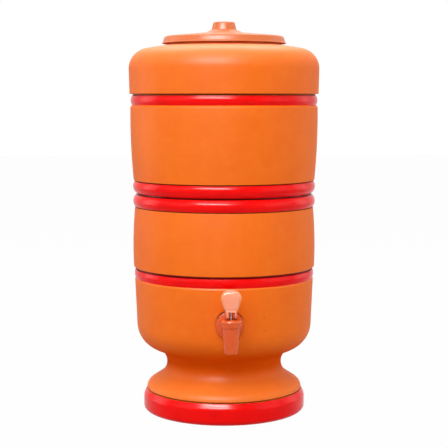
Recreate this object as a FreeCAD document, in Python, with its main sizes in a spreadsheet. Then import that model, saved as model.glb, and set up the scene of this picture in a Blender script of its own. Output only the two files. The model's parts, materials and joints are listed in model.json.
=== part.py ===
# Clay water filter: two stacked crocks with a lid, a filter candle, a float valve and a tap.
# Millimetres, +Z up. The origin is on the crocks' axis, in the plane that the foot stands on.
# The tap points along -Y.
import FreeCAD, Part
import math
import os

import Sketcher
from FreeCAD import Placement, Rotation, Vector

SIZES = {
    # foot of the lower crock, outside, from the ground up
    "foot_radius": 85.3,
    "foot_edge_round": 5.0,
    "foot_widest_height": 9.0,
    "foot_band_top_radius": 82.8,
    "foot_band_top": 22.5,
    "foot_groove_radius": 81.0,
    "foot_groove_height": 23.0,
    "foot_shoulder_radius": 81.8,
    "foot_shoulder_start": 23.8,
    "foot_shoulder_height": 29.2,
    "foot_shoulder_round": 9.5,
    "waist_radius": 60.5,
    "waist_low_height": 43.2,
    "waist_high_height": 62.9,
    "waist_round": 15.2,
    # bowl and wall of the lower crock, outside
    "bowl_radius": 91.4,
    "bowl_height": 72.4,
    "bowl_round": 28.7,
    "low_band_bottom": 141.2,
    "low_band_height": 9.4,
    "low_lip_radius": 94.4,
    "low_band_radius": 93.7,
    "low_band_top_radius": 94.2,
    "low_groove_radius": 92.0,
    "low_ledge_radius": 95.5,
    "low_wall_bow": 435.0,
    "low_wall_top_radius": 93.6,
    "band_lip": 1.2,
    "groove_height": 1.2,
    "ledge_height": 2.4,
    # the two red beads that meet where the crocks stack
    "joint_height": 229.7,
    "joint_bead_height": 13.1,
    "joint_bead_round": 8.9,
    "joint_seat_radius": 92.6,
    # lower crock, inside
    "low_inner_radius": 85.0,
    "low_floor_height": 71.0,
    "low_floor_bevel": 13.0,
    "foot_hollow_radius": 74.0,
    "foot_hollow_shoulder_radius": 73.0,
    "foot_hollow_shoulder_height": 24.2,
    "foot_hollow_waist_radius": 50.5,
    "foot_hollow_waist_height": 39.0,
    "foot_hollow_ceiling": 60.0,
    # upper crock, outside
    "up_bead_top_radius": 93.8,
    "up_wall_start_radius": 94.8,
    "up_wall_bow": 700.0,
    "up_lip_radius": 97.9,
    "up_band_bottom": 321.6,
    "up_band_height": 9.8,
    "up_band_bottom_radius": 96.2,
    "up_band_top_radius": 96.9,
    "up_groove_radius": 95.0,
    "up_band_round": 22.0,
    "up_ledge_radius": 98.6,
    "shoulder_radius": 99.8,
    "shoulder_height": 377.2,
    "shoulder_round": 21.5,
    "mouth_slope_radius": 59.3,
    "mouth_slope_height": 384.0,
    "mouth_lip_radius": 58.6,
    "mouth_height": 384.9,
    # upper crock, inside and underneath
    "mouth_radius": 52.5,
    "mouth_neck_height": 377.2,
    "up_inner_radius": 89.0,
    "up_inner_shoulder_radius": 80.0,
    "up_inner_shoulder_height": 372.2,
    "up_inner_wall_top": 361.5,
    "up_floor_height": 236.0,
    "up_floor_bevel": 9.0,
    "up_floor_thickness": 10.0,
    "spigot_radius": 83.8,
    "spigot_width": 6.5,
    "spigot_depth": 7.7,
    "candle_hole_radius": 6.5,
    # lid
    "lid_radius": 65.2,
    "lid_rim_height": 384.3,
    "lid_corner_radius": 61.5,
    "lid_corner_height": 394.1,
    "lid_corner_round": 6.0,
    "lid_wall": 2.2,
    "lid_inner_corner_radius": 58.9,
    "lid_inner_corner_height": 389.7,
    "knob_foot_radius": 13.6,
    "knob_foot_height": 397.0,
    "knob_radius": 12.6,
    "knob_belt_bottom": 398.6,
    "knob_belt_top": 400.6,
    "knob_top_radius": 10.1,
    "knob_top_height": 407.6,
    "knob_round": 2.0,
    "lid_skirt_radius": 50.4,
    "lid_skirt_wall": 2.0,
    "lid_skirt_height": 377.0,
    "lid_seat_radius": 56.0,
    "lid_seat_root_height": 391.2,
    "lid_rib_start": 49.5,
    "lid_rib_end": 61.3,
    "lid_rib_root_height": 392.3,
    "lid_rib_height": 386.4,
    "lid_rib_thickness": 1.6,
    "lid_rib_count": 12,
    # filter candle
    "candle_radius": 27.0,
    "candle_height": 330.0,
    "candle_dome": 20.0,
    "candle_dome_shoulder": 5.9,
    "candle_wall": 7.0,
    "candle_core_gap": 1.5,
    "candle_core_height": 316.0,
    "candle_core_bevel": 7.4,
    "candle_base_radius": 29.6,
    "candle_base_height": 12.0,
    "candle_base_floor": 3.5,
    "candle_base_gap": 0.2,
    "candle_stem_radius": 5.5,
    "candle_stem_bore": 2.6,
    "candle_stem_end": 196.0,
    "gasket_radius": 20.0,
    "gasket_thickness": 2.5,
    "washer_gap": 0.1,
    "low_washer_radius": 13.0,
    "low_washer_thickness": 2.0,
    "candle_nut_radius": 11.0,
    "candle_nut_height": 7.0,
    "candle_wing_reach": 21.0,
    "candle_wing_thickness": 3.0,
    "candle_wing_drop": 0.5,
    # float valve
    "valve_radius": 8.5,
    "valve_top": 206.0,
    "valve_bottom": 190.0,
    "nozzle_radius": 3.4,
    "nozzle_bore": 1.8,
    "nozzle_tip": 187.0,
    "float_pivot_reach": 13.0,
    "float_pivot_height": 184.0,
    "float_droop": 35.0,
    "lug_inner": 4.3,
    "lug_outer": 6.8,
    "lug_root_reach": 5.9,
    "lug_root_height": 6.4,
    "lug_round": 3.0,
    "float_pin_radius": 1.2,
    "float_pin_head_radius": 2.2,
    "float_pin_head": 1.0,
    "running_gap": 0.06,
    "arm_hub_radius": 3.2,
    "arm_hub_half_width": 3.9,
    "arm_start": 1.5,
    "arm_half_width": 3.0,
    "arm_half_thickness": 1.5,
    "arm_length": 52.0,
    "arm_disc_radius": 6.0,
    "arm_peg_radius": 2.0,
    "arm_peg_height": 7.0,
    "pad_radius": 4.2,
    "pad_rim": 1.2,
    "pad_rim_height": 1.9,
    "pad_bottom": 0.2,
    "pad_top": 2.8,
    "bulb_radius": 17.0,
    "bulb_height": 22.0,
    "bulb_slope": 5.0,
    # tap: body
    "tap_height": 104.7,
    "tap_reach": 113.0,
    "spout_radius": 6.3,
    "spout_drop": 24.7,
    "spout_bore": 4.0,
    "spout_bevel": 0.8,
    "barrel_radius": 9.0,
    "barrel_top": 1.9,
    "tap_neck_radius": 8.2,
    "tap_neck_top": 6.7,
    "tap_chamber_radius": 6.6,
    "tap_seat_drop": 6.2,
    "tap_arm_radius": 6.6,
    "tap_flange_radius": 14.4,
    "tap_flange_start": 16.8,
    "tap_flange_thickness": 3.0,
    "tap_flange_bevel": 0.9,
    "tap_shank_radius": 8.0,
    "tap_shank_end": 43.0,
    "tap_shank_bore": 3.6,
    # tap: how it is clamped through the clay
    "tap_hole_radius": 8.8,
    "tap_outer_seat": 91.2,
    "tap_outer_seat_radius": 15.2,
    "tap_inner_seat": 85.2,
    "tap_inner_seat_radius": 14.2,
    "tap_washer_bore": 8.3,
    "tap_outer_washer_radius": 14.9,
    "tap_inner_washer_radius": 12.6,
    "tap_washer_thickness": 2.0,
    "tap_nut_flats": 23.0,
    "tap_nut_height": 7.0,
    "tap_nut_face_radius": 12.0,
    "tap_nut_chamfer": 1.3,
    # tap: bonnet, stem and seal
    "bonnet_radius": 11.2,
    "bonnet_foot_radius": 9.8,
    "bonnet_top": 9.7,
    "bonnet_ceiling": 6.9,
    "bonnet_bevel": 0.8,
    "bonnet_gap": 0.2,
    "bonnet_dish_radius": 4.6,
    "bonnet_dish_depth": 1.0,
    "stem_radius": 1.45,
    "stem_gap": 0.1,
    "stem_disc_radius": 4.6,
    "stem_disc_bottom": -2.6,
    "stem_disc_top": -1.3,
    "stem_end": -4.6,
    "eye_radius": 2.3,
    "eye_half_width": 2.8,
    "seal_radius": 5.6,
    "packing_thickness": 1.4,
    "packing_radius": 6.2,
    "spring_radius": 3.5,
    "spring_wire": 0.8,
    "spring_turns": 4,
    # tap: lever, measured from its pin
    "pin_radius": 1.0,
    "pin_half_length": 5.7,
    "pin_height": 18.8,
    "lever_foot": 9.0,
    "lever_cam_rise": 2.5,
    "lever_tilt": 45.0,
    "lever_heel": 4.3,
    "lever_arm_half_width": 6.2,
    "lever_fork_half_gap": 3.05,
    "lever_fork_top": -1.5,
    "lever_fork_reach": 18.0,
    "lever_eye_pocket": 2.8,
    "lever_eye_pocket_round": 2.7,
    "lever_eye_pocket_floor": 0.3,
    "lever_foot_overlap": 4.5,
    "lever_foot_front": 2.0,
    "lever_half_width": 10.1,
    "lever_flare_height": 11.0,
    "lever_top": 19.7,
    "lever_corner_round": 8.0,
    "lever_half_thickness": 4.6,
    "lever_edge_round": 2.8,
}
CAM_POINTS = 7
PAST = 5.0  # how far a cut runs past the face that it opens
THROUGH = 40.0  # how long a cut is that goes right through a piece


class Size:
    """A length that carries its value and the sheet expression that it comes from."""

    def __init__(self, value, text):
        self.value = value
        self.text = text

    @staticmethod
    def of(thing):
        """Return the thing as a Size, a plain number included."""
        if isinstance(thing, Size):
            return thing
        return Size(float(thing), f"{float(thing)}")

    def __add__(self, other):
        other = Size.of(other)
        return Size(self.value + other.value, f"({self.text} + {other.text})")

    def __sub__(self, other):
        other = Size.of(other)
        return Size(self.value - other.value, f"({self.text} - {other.text})")

    def __mul__(self, factor):
        return Size(self.value * factor, f"({self.text} * {float(factor)})")

    def __neg__(self):
        return self * -1.0


class Sizes:
    """The sheet of driving sizes. Each attribute is the Size with that alias."""

    def __init__(self, document):
        sheet = document.addObject("Spreadsheet::Sheet", "dims")
        for row, (name, value) in enumerate(SIZES.items(), start=1):
            sheet.set(f"A{row}", name)
            sheet.set(f"B{row}", str(value))
            sheet.setAlias(f"B{row}", name)

    def __getattr__(self, name):
        return Size(SIZES[name], f"dims.{name}")


class Corner:
    """A corner of an outline: rounded, or the start of an arc that bulges off the material."""

    def __init__(self, across, up, rounding=None, arc=None):
        self.across = Size.of(across)
        self.up = Size.of(up)
        self.rounding = rounding
        self.arc = arc
        self.point = Vector(self.across.value, self.up.value, 0)


def box(left, bottom, right, top):
    """Return the corners of an upright rectangle."""
    return [Corner(left, bottom), Corner(right, bottom), Corner(right, top), Corner(left, top)]


def arc_geometry(centre, radius, start, end):
    """Return the counterclockwise arc round the centre from one point to another."""
    first = math.atan2(start.y - centre.y, start.x - centre.x)
    last = math.atan2(end.y - centre.y, end.x - centre.x)
    circle = Part.Circle(centre, Vector(0, 0, 1), radius)
    return Part.ArcOfCircle(circle, first, last)


class Outline:
    """A closed outline, drawn counterclockwise, with each corner tied to the sheet."""

    def __init__(self, sketch, corners):
        self.sketch = sketch
        self.corners = corners
        self.constraints = []
        self.bindings = {}
        self.leaving = [corner.point for corner in corners]
        self.arriving = [corner.point for corner in corners]
        arcs = [self.rounding_arc(index) for index in range(len(corners))]
        edges = [self.edge(index) for index in range(len(corners))]
        for index, corner in enumerate(corners):
            self.join(corner, edges[index - 1], arcs[index], edges[index])
        numbers = sketch.addConstraint(self.constraints)
        for place, text in self.bindings.items():
            sketch.setExpression(f"Constraints[{numbers[place]}]", text)

    def rounding_arc(self, index):
        """Add the tangent arc of a rounded corner: its number, entry end and exit end."""
        corner = self.corners[index]
        if corner.rounding is None:
            return None
        before = self.corners[index - 1].point - corner.point
        after = self.corners[(index + 1) % len(self.corners)].point - corner.point
        half = before.getAngle(after) / 2
        radius = corner.rounding.value
        self.arriving[index] = corner.point + before.normalize() * (radius / math.tan(half))
        self.leaving[index] = corner.point + after.normalize() * (radius / math.tan(half))
        centre = corner.point + (before + after).normalize() * (radius / math.sin(half))
        ends = (self.arriving[index], self.leaving[index])
        turns_right = before.cross(after).z > 0
        if turns_right:
            ends = ends[::-1]
        number = self.sketch.addGeometry(arc_geometry(centre, radius, *ends), False)
        return (number, 2, 1) if turns_right else (number, 1, 2)

    def edge(self, index):
        """Add the line or arc that leaves a corner: its number, first end and last end."""
        corner = self.corners[index]
        start = self.leaving[index]
        end = self.arriving[(index + 1) % len(self.corners)]
        if corner.arc is None:
            return self.sketch.addGeometry(Part.LineSegment(start, end), False), 1, 2
        half_chord = (end - start) * 0.5
        reach = math.sqrt(corner.arc.value ** 2 - half_chord.Length ** 2)
        left = Vector(-half_chord.y, half_chord.x, 0).normalize()
        centre = start + half_chord + left * reach
        arc = arc_geometry(centre, corner.arc.value, start, end)
        number = self.sketch.addGeometry(arc, False)
        self.add(("Radius", number), corner.arc)
        return number, 1, 2

    def join(self, corner, before, arc, after):
        """Join the edges at a corner and fix where the corner is."""
        if arc is None:
            self.add(("Coincident", before[0], before[2], after[0], after[1]))
            self.fix(after[0], after[1], corner)
            return
        self.add(("Tangent", before[0], before[2], arc[0], arc[1]))
        self.add(("Tangent", arc[0], arc[2], after[0], after[1]))
        self.add(("Radius", arc[0]), corner.rounding)
        vertex = self.sketch.addGeometry(Part.Point(corner.point), True)
        self.add(("PointOnObject", vertex, 1, before[0]))
        self.add(("PointOnObject", vertex, 1, after[0]))
        self.fix(vertex, 1, corner)

    def fix(self, number, end, corner):
        """Fix a point's distances from the sketch's origin."""
        for kind, axis, size in (("DistanceX", -2, corner.across), ("DistanceY", -1, corner.up)):
            if size.value == 0:
                self.add(("PointOnObject", number, end, axis))
            else:
                self.add((kind, -1, 1, number, end), size)

    def add(self, parts, size=None):
        """Queue a constraint, with the size that drives it if it has one."""
        if size is None:
            self.constraints.append(Sketcher.Constraint(*parts))
            return
        self.bindings[len(self.constraints)] = size.text
        self.constraints.append(Sketcher.Constraint(*parts, size.value))


def draw_circle(sketch, across, up, radius):
    """Draw a circle with its centre and radius tied to the sheet."""
    corner = Corner(across, up)
    circle = Part.Circle(corner.point, Vector(0, 0, 1), radius.value)
    number = sketch.addGeometry(circle, False)
    index = sketch.addConstraint(Sketcher.Constraint("Radius", number, radius.value))
    sketch.setExpression(f"Constraints[{index}]", radius.text)
    for kind, axis, size in (("DistanceX", -2, corner.across), ("DistanceY", -1, corner.up)):
        if size.value == 0:
            sketch.addConstraint(Sketcher.Constraint("PointOnObject", number, 3, axis))
        else:
            constraint = Sketcher.Constraint(kind, -1, 1, number, 3, size.value)
            sketch.setExpression(f"Constraints[{sketch.addConstraint(constraint)}]", size.text)


class Piece:
    """A sub-part of the filter: a body whose features are added in the order of making it."""

    def __init__(self, document, name):
        self.document = document
        self.name = name
        self.body = document.addObject("PartDesign::Body", name)
        self.body.Label = name

    def sketch(self, feature, plane, offset=None):
        """Start a sketch on one of the body's own origin planes."""
        sketch = self.body.newObject("Sketcher::SketchObject", f"{self.name}_{feature}_sketch")
        role = f"{plane}_Plane"
        base = [item for item in self.body.Origin.OriginFeatures if item.Role == role]
        sketch.AttachmentSupport = [(base[0], "")]
        sketch.MapMode = "FlatFace"
        if offset is not None:
            sketch.setExpression("AttachmentOffset.Base.z", offset.text)
        return sketch

    def revolve(self, feature, corners, plane="XZ", axis="V_Axis", cut=False):
        """Turn an outline round an axis of its sketch, adding or cutting."""
        sketch = self.sketch(feature, plane)
        Outline(sketch, corners)
        kind = "PartDesign::Groove" if cut else "PartDesign::Revolution"
        turned = self.body.newObject(kind, f"{self.name}_{feature}")
        turned.Profile = sketch
        turned.ReferenceAxis = (sketch, [axis])
        turned.Angle = 360
        return turned

    def extrude(self, feature, sketch, length, both_ways=True, cut=False, away=False):
        """Push a sketch's outline through a length, adding or cutting."""
        kind = "PartDesign::Pocket" if cut else "PartDesign::Pad"
        pushed = self.body.newObject(kind, f"{self.name}_{feature}")
        pushed.Profile = sketch
        pushed.setExpression("Length", length.text)
        if both_ways:
            pushed.Midplane = True
        pushed.Reversed = away
        return pushed

    def plate(self, feature, corners, length, plane="XZ", offset=None, **how):
        """Extrude an outline."""
        sketch = self.sketch(feature, plane, offset)
        Outline(sketch, corners)
        return self.extrude(feature, sketch, length, **how)

    def disc(self, feature, across, up, radius, length, plane="XZ", offset=None, **how):
        """Extrude a circle."""
        sketch = self.sketch(feature, plane, offset)
        draw_circle(sketch, across, up, radius)
        return self.extrude(feature, sketch, length, **how)

    def finish_edges(self, kind, size, chosen):
        """Give the edges that the test chooses a Fillet or a Chamfer."""
        self.document.recompute()
        edges = enumerate(self.body.Shape.Edges, start=1)
        names = [f"Edge{number}" for number, edge in edges if chosen(edge)]
        base = self.body.Tip
        finish = self.body.newObject(f"PartDesign::{kind}", f"{self.name}_{kind}")
        finish.Base = (base, names)
        finish.setExpression("Radius" if kind == "Fillet" else "Size", size.text)
        return finish

    def repeat_round(self, feature, original, count):
        """Repeat a feature round the body's Z axis."""
        pattern = self.body.newObject("PartDesign::PolarPattern", f"{self.name}_{feature}")
        pattern.Originals = [original]
        axis = [item for item in self.body.Origin.OriginFeatures if item.Role == "Z_Axis"]
        pattern.Axis = (axis[0], [""])
        pattern.Angle = 360
        pattern.setExpression("Occurrences", count.text)
        self.body.Tip = pattern
        return pattern

    def mirror(self, feature, original, plane):
        """Mirror a feature in one of the body's own origin planes."""
        mirrored = self.body.newObject("PartDesign::Mirrored", f"{self.name}_{feature}")
        mirrored.Originals = [original]
        role = f"{plane}_Plane"
        base = [item for item in self.body.Origin.OriginFeatures if item.Role == role]
        mirrored.MirrorPlane = (base[0], [""])
        self.body.Tip = mirrored
        return mirrored

    def place(self, x=0.0, y=0.0, z=0.0, turn=None):
        """Put the body's own origin at a place, turned first."""
        self.body.Placement = Placement(Vector(), turn or Rotation())
        for letter, size in (("x", x), ("y", y), ("z", z)):
            size = Size.of(size)
            self.body.setExpression(f"Placement.Base.{letter}", size.text)
        return self


def on_circle(radius, height, axis="z"):
    """Return a test for circular edges of a radius, at a height along an axis."""

    def chosen(edge):
        curve = edge.Curve
        if not isinstance(curve, Part.Circle):
            return False
        return abs(curve.Radius - radius.value) < 0.01 and abs(
            getattr(curve.Center, axis) - height.value) < 0.01

    return chosen


def ring(document, name, inner, outer, bottom, top):
    """Make a plain ring, with its axis on Z."""
    piece = Piece(document, name)
    piece.revolve("ring", box(inner, bottom, outer, top))
    return piece


# ---- crocks and lid ----

def make_lower_pot(document, d):
    """Lower crock and its hollow foot in one clay casting, bored for the tap."""
    pot = Piece(document, "lower_pot")
    bead_bottom = d.joint_height - d.joint_bead_height
    band_top = d.low_band_bottom + d.low_band_height
    pot.revolve("casting", [
        Corner(0, d.foot_hollow_ceiling),
        Corner(d.foot_hollow_waist_radius, d.foot_hollow_ceiling),
        Corner(d.foot_hollow_waist_radius, d.foot_hollow_waist_height),
        Corner(d.foot_hollow_shoulder_radius, d.foot_hollow_shoulder_height),
        Corner(d.foot_hollow_radius, 0),
        Corner(d.foot_radius, 0, rounding=d.foot_edge_round),
        Corner(d.foot_radius, d.foot_widest_height),
        Corner(d.foot_band_top_radius, d.foot_band_top),
        Corner(d.foot_groove_radius, d.foot_groove_height),
        Corner(d.foot_shoulder_radius, d.foot_shoulder_start),
        Corner(d.foot_shoulder_radius, d.foot_shoulder_height, rounding=d.foot_shoulder_round),
        Corner(d.waist_radius, d.waist_low_height, rounding=d.waist_round),
        Corner(d.waist_radius, d.waist_high_height, rounding=d.waist_round),
        Corner(d.bowl_radius, d.bowl_height, rounding=d.bowl_round),
        Corner(d.low_lip_radius, d.low_band_bottom - d.band_lip),
        Corner(d.low_band_radius, d.low_band_bottom),
        Corner(d.low_band_top_radius, band_top),
        Corner(d.low_groove_radius, band_top + d.groove_height),
        Corner(d.low_ledge_radius, band_top + d.ledge_height, arc=d.low_wall_bow),
        Corner(d.low_wall_top_radius, bead_bottom, arc=d.joint_bead_round),
        Corner(d.joint_seat_radius, d.joint_height),
        Corner(d.low_inner_radius, d.joint_height),
        Corner(d.low_inner_radius, d.low_floor_height + d.low_floor_bevel),
        Corner(d.low_inner_radius - d.low_floor_bevel, d.low_floor_height),
        Corner(0, d.low_floor_height),
    ])
    pot.disc("tap_hole", 0, d.tap_height, d.tap_hole_radius, d.tap_reach, both_ways=False,
             cut=True, away=True)
    pot.disc("outer_seat", 0, d.tap_height, d.tap_outer_seat_radius, Size.of(PAST),
             offset=d.tap_outer_seat, both_ways=False, cut=True, away=True)
    pot.disc("inner_seat", 0, d.tap_height, d.tap_inner_seat_radius, Size.of(PAST),
             offset=d.tap_inner_seat, both_ways=False, cut=True)
    return pot


def make_upper_pot(document, d):
    """Upper crock, with a spigot that locates it in the mouth of the lower one."""
    pot = Piece(document, "upper_pot")
    floor_bottom = d.up_floor_height - d.up_floor_thickness
    spigot_bottom = d.joint_height - d.spigot_depth
    bead_top = d.joint_height + d.joint_bead_height
    band_top = d.up_band_bottom + d.up_band_height
    pot.revolve("casting", [
        Corner(d.candle_hole_radius, floor_bottom),
        Corner(d.spigot_radius - d.spigot_width, floor_bottom),
        Corner(d.spigot_radius - d.spigot_width, spigot_bottom),
        Corner(d.spigot_radius, spigot_bottom),
        Corner(d.spigot_radius, d.joint_height),
        Corner(d.joint_seat_radius, d.joint_height, arc=d.joint_bead_round),
        Corner(d.up_bead_top_radius, bead_top),
        Corner(d.up_wall_start_radius, bead_top + d.band_lip, arc=d.up_wall_bow),
        Corner(d.up_lip_radius, d.up_band_bottom - d.band_lip),
        Corner(d.up_band_bottom_radius, d.up_band_bottom, arc=d.up_band_round),
        Corner(d.up_band_top_radius, band_top),
        Corner(d.up_groove_radius, band_top + d.groove_height),
        Corner(d.up_ledge_radius, band_top + d.ledge_height),
        Corner(d.shoulder_radius, d.shoulder_height, rounding=d.shoulder_round),
        Corner(d.mouth_slope_radius, d.mouth_slope_height),
        Corner(d.mouth_lip_radius, d.mouth_height),
        Corner(d.mouth_radius, d.mouth_height),
        Corner(d.mouth_radius, d.mouth_neck_height),
        Corner(d.up_inner_shoulder_radius, d.up_inner_shoulder_height),
        Corner(d.up_inner_radius, d.up_inner_wall_top),
        Corner(d.up_inner_radius, d.up_floor_height + d.up_floor_bevel),
        Corner(d.up_inner_radius - d.up_floor_bevel, d.up_floor_height),
        Corner(d.candle_hole_radius, d.up_floor_height),
    ])
    return pot


def make_lid(document, d):
    """Moulded lid and knob in one, with a seat ring, a locating skirt and ribs underneath."""
    lid = Piece(document, "lid")
    wall = d.lid_wall
    ceiling = d.lid_corner_height - wall
    crown = d.knob_foot_height - wall
    lid.revolve("shell", [
        Corner(0, d.knob_top_height - wall),
        Corner(d.knob_top_radius - wall, d.knob_top_height - wall),
        Corner(d.knob_radius - wall, crown),
        Corner(d.lid_skirt_radius - d.lid_skirt_wall, ceiling),
        Corner(d.lid_skirt_radius - d.lid_skirt_wall, d.lid_skirt_height),
        Corner(d.lid_skirt_radius, d.lid_skirt_height),
        Corner(d.lid_skirt_radius, ceiling),
        Corner(d.lid_seat_radius - wall, ceiling),
        Corner(d.lid_seat_radius - wall, d.mouth_height),
        Corner(d.lid_seat_radius, d.mouth_height),
        Corner(d.lid_seat_radius, d.lid_seat_root_height),
        Corner(d.lid_inner_corner_radius, d.lid_inner_corner_height),
        Corner(d.lid_radius - wall, d.lid_rim_height),
        Corner(d.lid_radius, d.lid_rim_height),
        Corner(d.lid_corner_radius, d.lid_corner_height, rounding=d.lid_corner_round),
        Corner(d.knob_foot_radius, d.knob_foot_height),
        Corner(d.knob_radius, d.knob_belt_bottom),
        Corner(d.knob_radius, d.knob_belt_top),
        Corner(d.knob_top_radius, d.knob_top_height, rounding=d.knob_round),
        Corner(0, d.knob_top_height),
    ])
    rib = lid.plate("rib", box(d.lid_rib_start, d.lid_rib_height, d.lid_rib_end,
                               d.lid_rib_root_height), d.lid_rib_thickness)
    lid.repeat_round("ribs", rib, d.lid_rib_count)
    return lid


# ---- filter candle ----

def make_candle(document, d):
    """Ceramic candle, its carbon core and threaded base, and what clamps it to the floor."""
    base_bottom = d.up_floor_height + d.gasket_thickness
    base_floor = base_bottom + d.candle_base_floor
    shell_bottom = base_floor
    wall = d.candle_wall
    shoulder = d.candle_dome_shoulder

    shell = Piece(document, "candle_shell")
    shell.revolve("dome", [
        Corner(d.candle_radius - wall, shell_bottom),
        Corner(d.candle_radius, shell_bottom),
        Corner(d.candle_radius, d.candle_height - d.candle_dome),
        Corner(d.candle_radius - shoulder, d.candle_height - shoulder),
        Corner(d.candle_radius - d.candle_dome, d.candle_height),
        Corner(0, d.candle_height),
        Corner(0, d.candle_height - wall),
        Corner(d.candle_radius - d.candle_dome, d.candle_height - wall),
        Corner(d.candle_radius - wall, d.candle_height - d.candle_dome),
    ])

    core_radius = d.candle_radius - wall - d.candle_core_gap
    core = Piece(document, "candle_carbon_core")
    core.revolve("core", [
        Corner(0, base_floor + d.candle_core_gap),
        Corner(core_radius, base_floor + d.candle_core_gap),
        Corner(core_radius, d.candle_core_height - d.candle_core_bevel),
        Corner(core_radius - d.candle_core_bevel, d.candle_core_height),
        Corner(0, d.candle_core_height),
    ])

    base = Piece(document, "candle_base")
    cup = d.candle_radius + d.candle_base_gap
    base.revolve("cup_and_stem", [
        Corner(d.candle_stem_bore, d.candle_stem_end),
        Corner(d.candle_stem_radius, d.candle_stem_end),
        Corner(d.candle_stem_radius, base_bottom),
        Corner(d.candle_base_radius, base_bottom),
        Corner(d.candle_base_radius, base_bottom + d.candle_base_height),
        Corner(cup, base_bottom + d.candle_base_height),
        Corner(cup, base_floor),
        Corner(d.candle_stem_bore, base_floor),
    ])

    bore = d.candle_stem_radius + d.washer_gap
    ring(document, "candle_gasket", bore, d.gasket_radius, d.up_floor_height, base_bottom)
    floor_bottom = d.up_floor_height - d.up_floor_thickness
    washer_bottom = floor_bottom - d.low_washer_thickness
    ring(document, "candle_lower_washer", bore, d.low_washer_radius, washer_bottom, floor_bottom)

    nut = Piece(document, "candle_nut")
    nut_bottom = washer_bottom - d.candle_nut_height
    nut.plate("wings", [
        Corner(-d.candle_wing_reach, nut_bottom, rounding=d.candle_wing_thickness),
        Corner(d.candle_wing_reach, nut_bottom, rounding=d.candle_wing_thickness),
        Corner(d.candle_wing_reach, washer_bottom - d.candle_wing_drop),
        Corner(-d.candle_wing_reach, washer_bottom - d.candle_wing_drop),
    ], d.candle_wing_thickness)
    nut.revolve("hub", box(0, nut_bottom, d.candle_nut_radius, washer_bottom))
    nut.revolve("thread_bore", box(0, nut_bottom - PAST, d.candle_stem_radius,
                                   washer_bottom + PAST), cut=True)


# ---- float valve ----

def make_float_valve(document, d):
    """Valve on the candle's stem, shut by a float that the water in the lower crock lifts."""
    valve = Piece(document, "float_valve_body")
    valve.revolve("housing", [
        Corner(d.nozzle_bore, d.nozzle_tip),
        Corner(d.nozzle_radius, d.nozzle_tip),
        Corner(d.nozzle_radius, d.valve_bottom),
        Corner(d.valve_radius, d.valve_bottom),
        Corner(d.valve_radius, d.valve_top),
        Corner(d.candle_stem_radius, d.valve_top),
        Corner(d.candle_stem_radius, d.candle_stem_end),
        Corner(d.nozzle_bore, d.candle_stem_end),
    ])
    end = d.arm_hub_radius
    lug = valve.plate("lug", [
        Corner(-d.float_pivot_reach - end, d.float_pivot_height - end, rounding=d.lug_round),
        Corner(-d.float_pivot_reach + end, d.float_pivot_height - end),
        Corner(-d.lug_root_reach, d.valve_bottom),
        Corner(-d.lug_root_reach, d.valve_bottom + d.lug_root_height),
        Corner(-d.float_pivot_reach - end, d.float_pivot_height + d.lug_root_height,
               rounding=d.lug_round),
    ], d.lug_outer - d.lug_inner, offset=d.lug_inner, both_ways=False)
    valve.mirror("other_lug", lug, "XZ")
    valve.disc("pin_hole", -d.float_pivot_reach, d.float_pivot_height, d.float_pin_radius,
               Size.of(THROUGH), cut=True)

    pin = Piece(document, "float_hinge_pin")
    pin.revolve("pin", [
        Corner(0, -d.lug_outer - d.float_pin_head),
        Corner(d.float_pin_head_radius, -d.lug_outer - d.float_pin_head),
        Corner(d.float_pin_head_radius, -d.lug_outer),
        Corner(d.float_pin_radius, -d.lug_outer),
        Corner(d.float_pin_radius, d.lug_outer + d.float_pin_head),
        Corner(0, d.lug_outer + d.float_pin_head),
    ])
    along_y = Rotation(Vector(1, 0, 0), -90)
    pin.place(-d.float_pivot_reach, 0, d.float_pivot_height, along_y)

    drooping = Rotation(Vector(0, 1, 0), SIZES["float_droop"])
    arm = Piece(document, "float_arm")
    half = d.arm_half_thickness
    arm.plate("bar", box(d.arm_start, -half, d.arm_length, half), d.arm_half_width * 2)
    arm.disc("hub", 0, 0, d.arm_hub_radius, d.arm_hub_half_width * 2)
    arm.disc("end_disc", d.arm_length, 0, d.arm_disc_radius, half * 2, plane="XY")
    arm.disc("peg", d.arm_length, 0, d.arm_peg_radius, d.arm_peg_height + half, plane="XY",
             both_ways=False)
    arm.disc("pad_cup", d.float_pivot_reach, 0, d.pad_radius + d.pad_rim,
             d.pad_rim_height + half, plane="XY", offset=-half, both_ways=False)
    arm.disc("pad_seat", d.float_pivot_reach, 0, d.pad_radius, Size.of(PAST), plane="XY",
             offset=d.pad_bottom, both_ways=False, cut=True, away=True)
    arm.disc("pin_hole", 0, 0, d.float_pin_radius + d.running_gap, Size.of(THROUGH),
             cut=True)

    pad = Piece(document, "float_seal_pad")
    pad.disc("pad", d.float_pivot_reach, 0, d.pad_radius, d.pad_top - d.pad_bottom, plane="XY",
             offset=d.pad_bottom, both_ways=False)

    bulb = Piece(document, "float_bulb")
    bulb.revolve("bulb", [
        Corner(0, d.arm_peg_height),
        Corner(d.arm_peg_radius, d.arm_peg_height),
        Corner(d.arm_peg_radius, 0),
        Corner(d.bulb_radius - d.bulb_slope, 0),
        Corner(d.bulb_radius, d.bulb_slope),
        Corner(d.bulb_radius, d.bulb_height - d.bulb_slope),
        Corner(d.bulb_radius - d.bulb_slope, d.bulb_height),
        Corner(0, d.bulb_height),
    ])
    for piece in (arm, pad):
        piece.place(-d.float_pivot_reach, 0, d.float_pivot_height, drooping)
    lean = math.radians(SIZES["float_droop"])
    foot = d.arm_length * math.cos(lean) + d.arm_half_thickness * math.sin(lean)
    drop = d.arm_length * math.sin(lean) - d.arm_half_thickness * math.cos(lean)
    bulb.place(foot - d.float_pivot_reach, 0, d.float_pivot_height - drop, drooping)


# ---- tap ----

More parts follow.
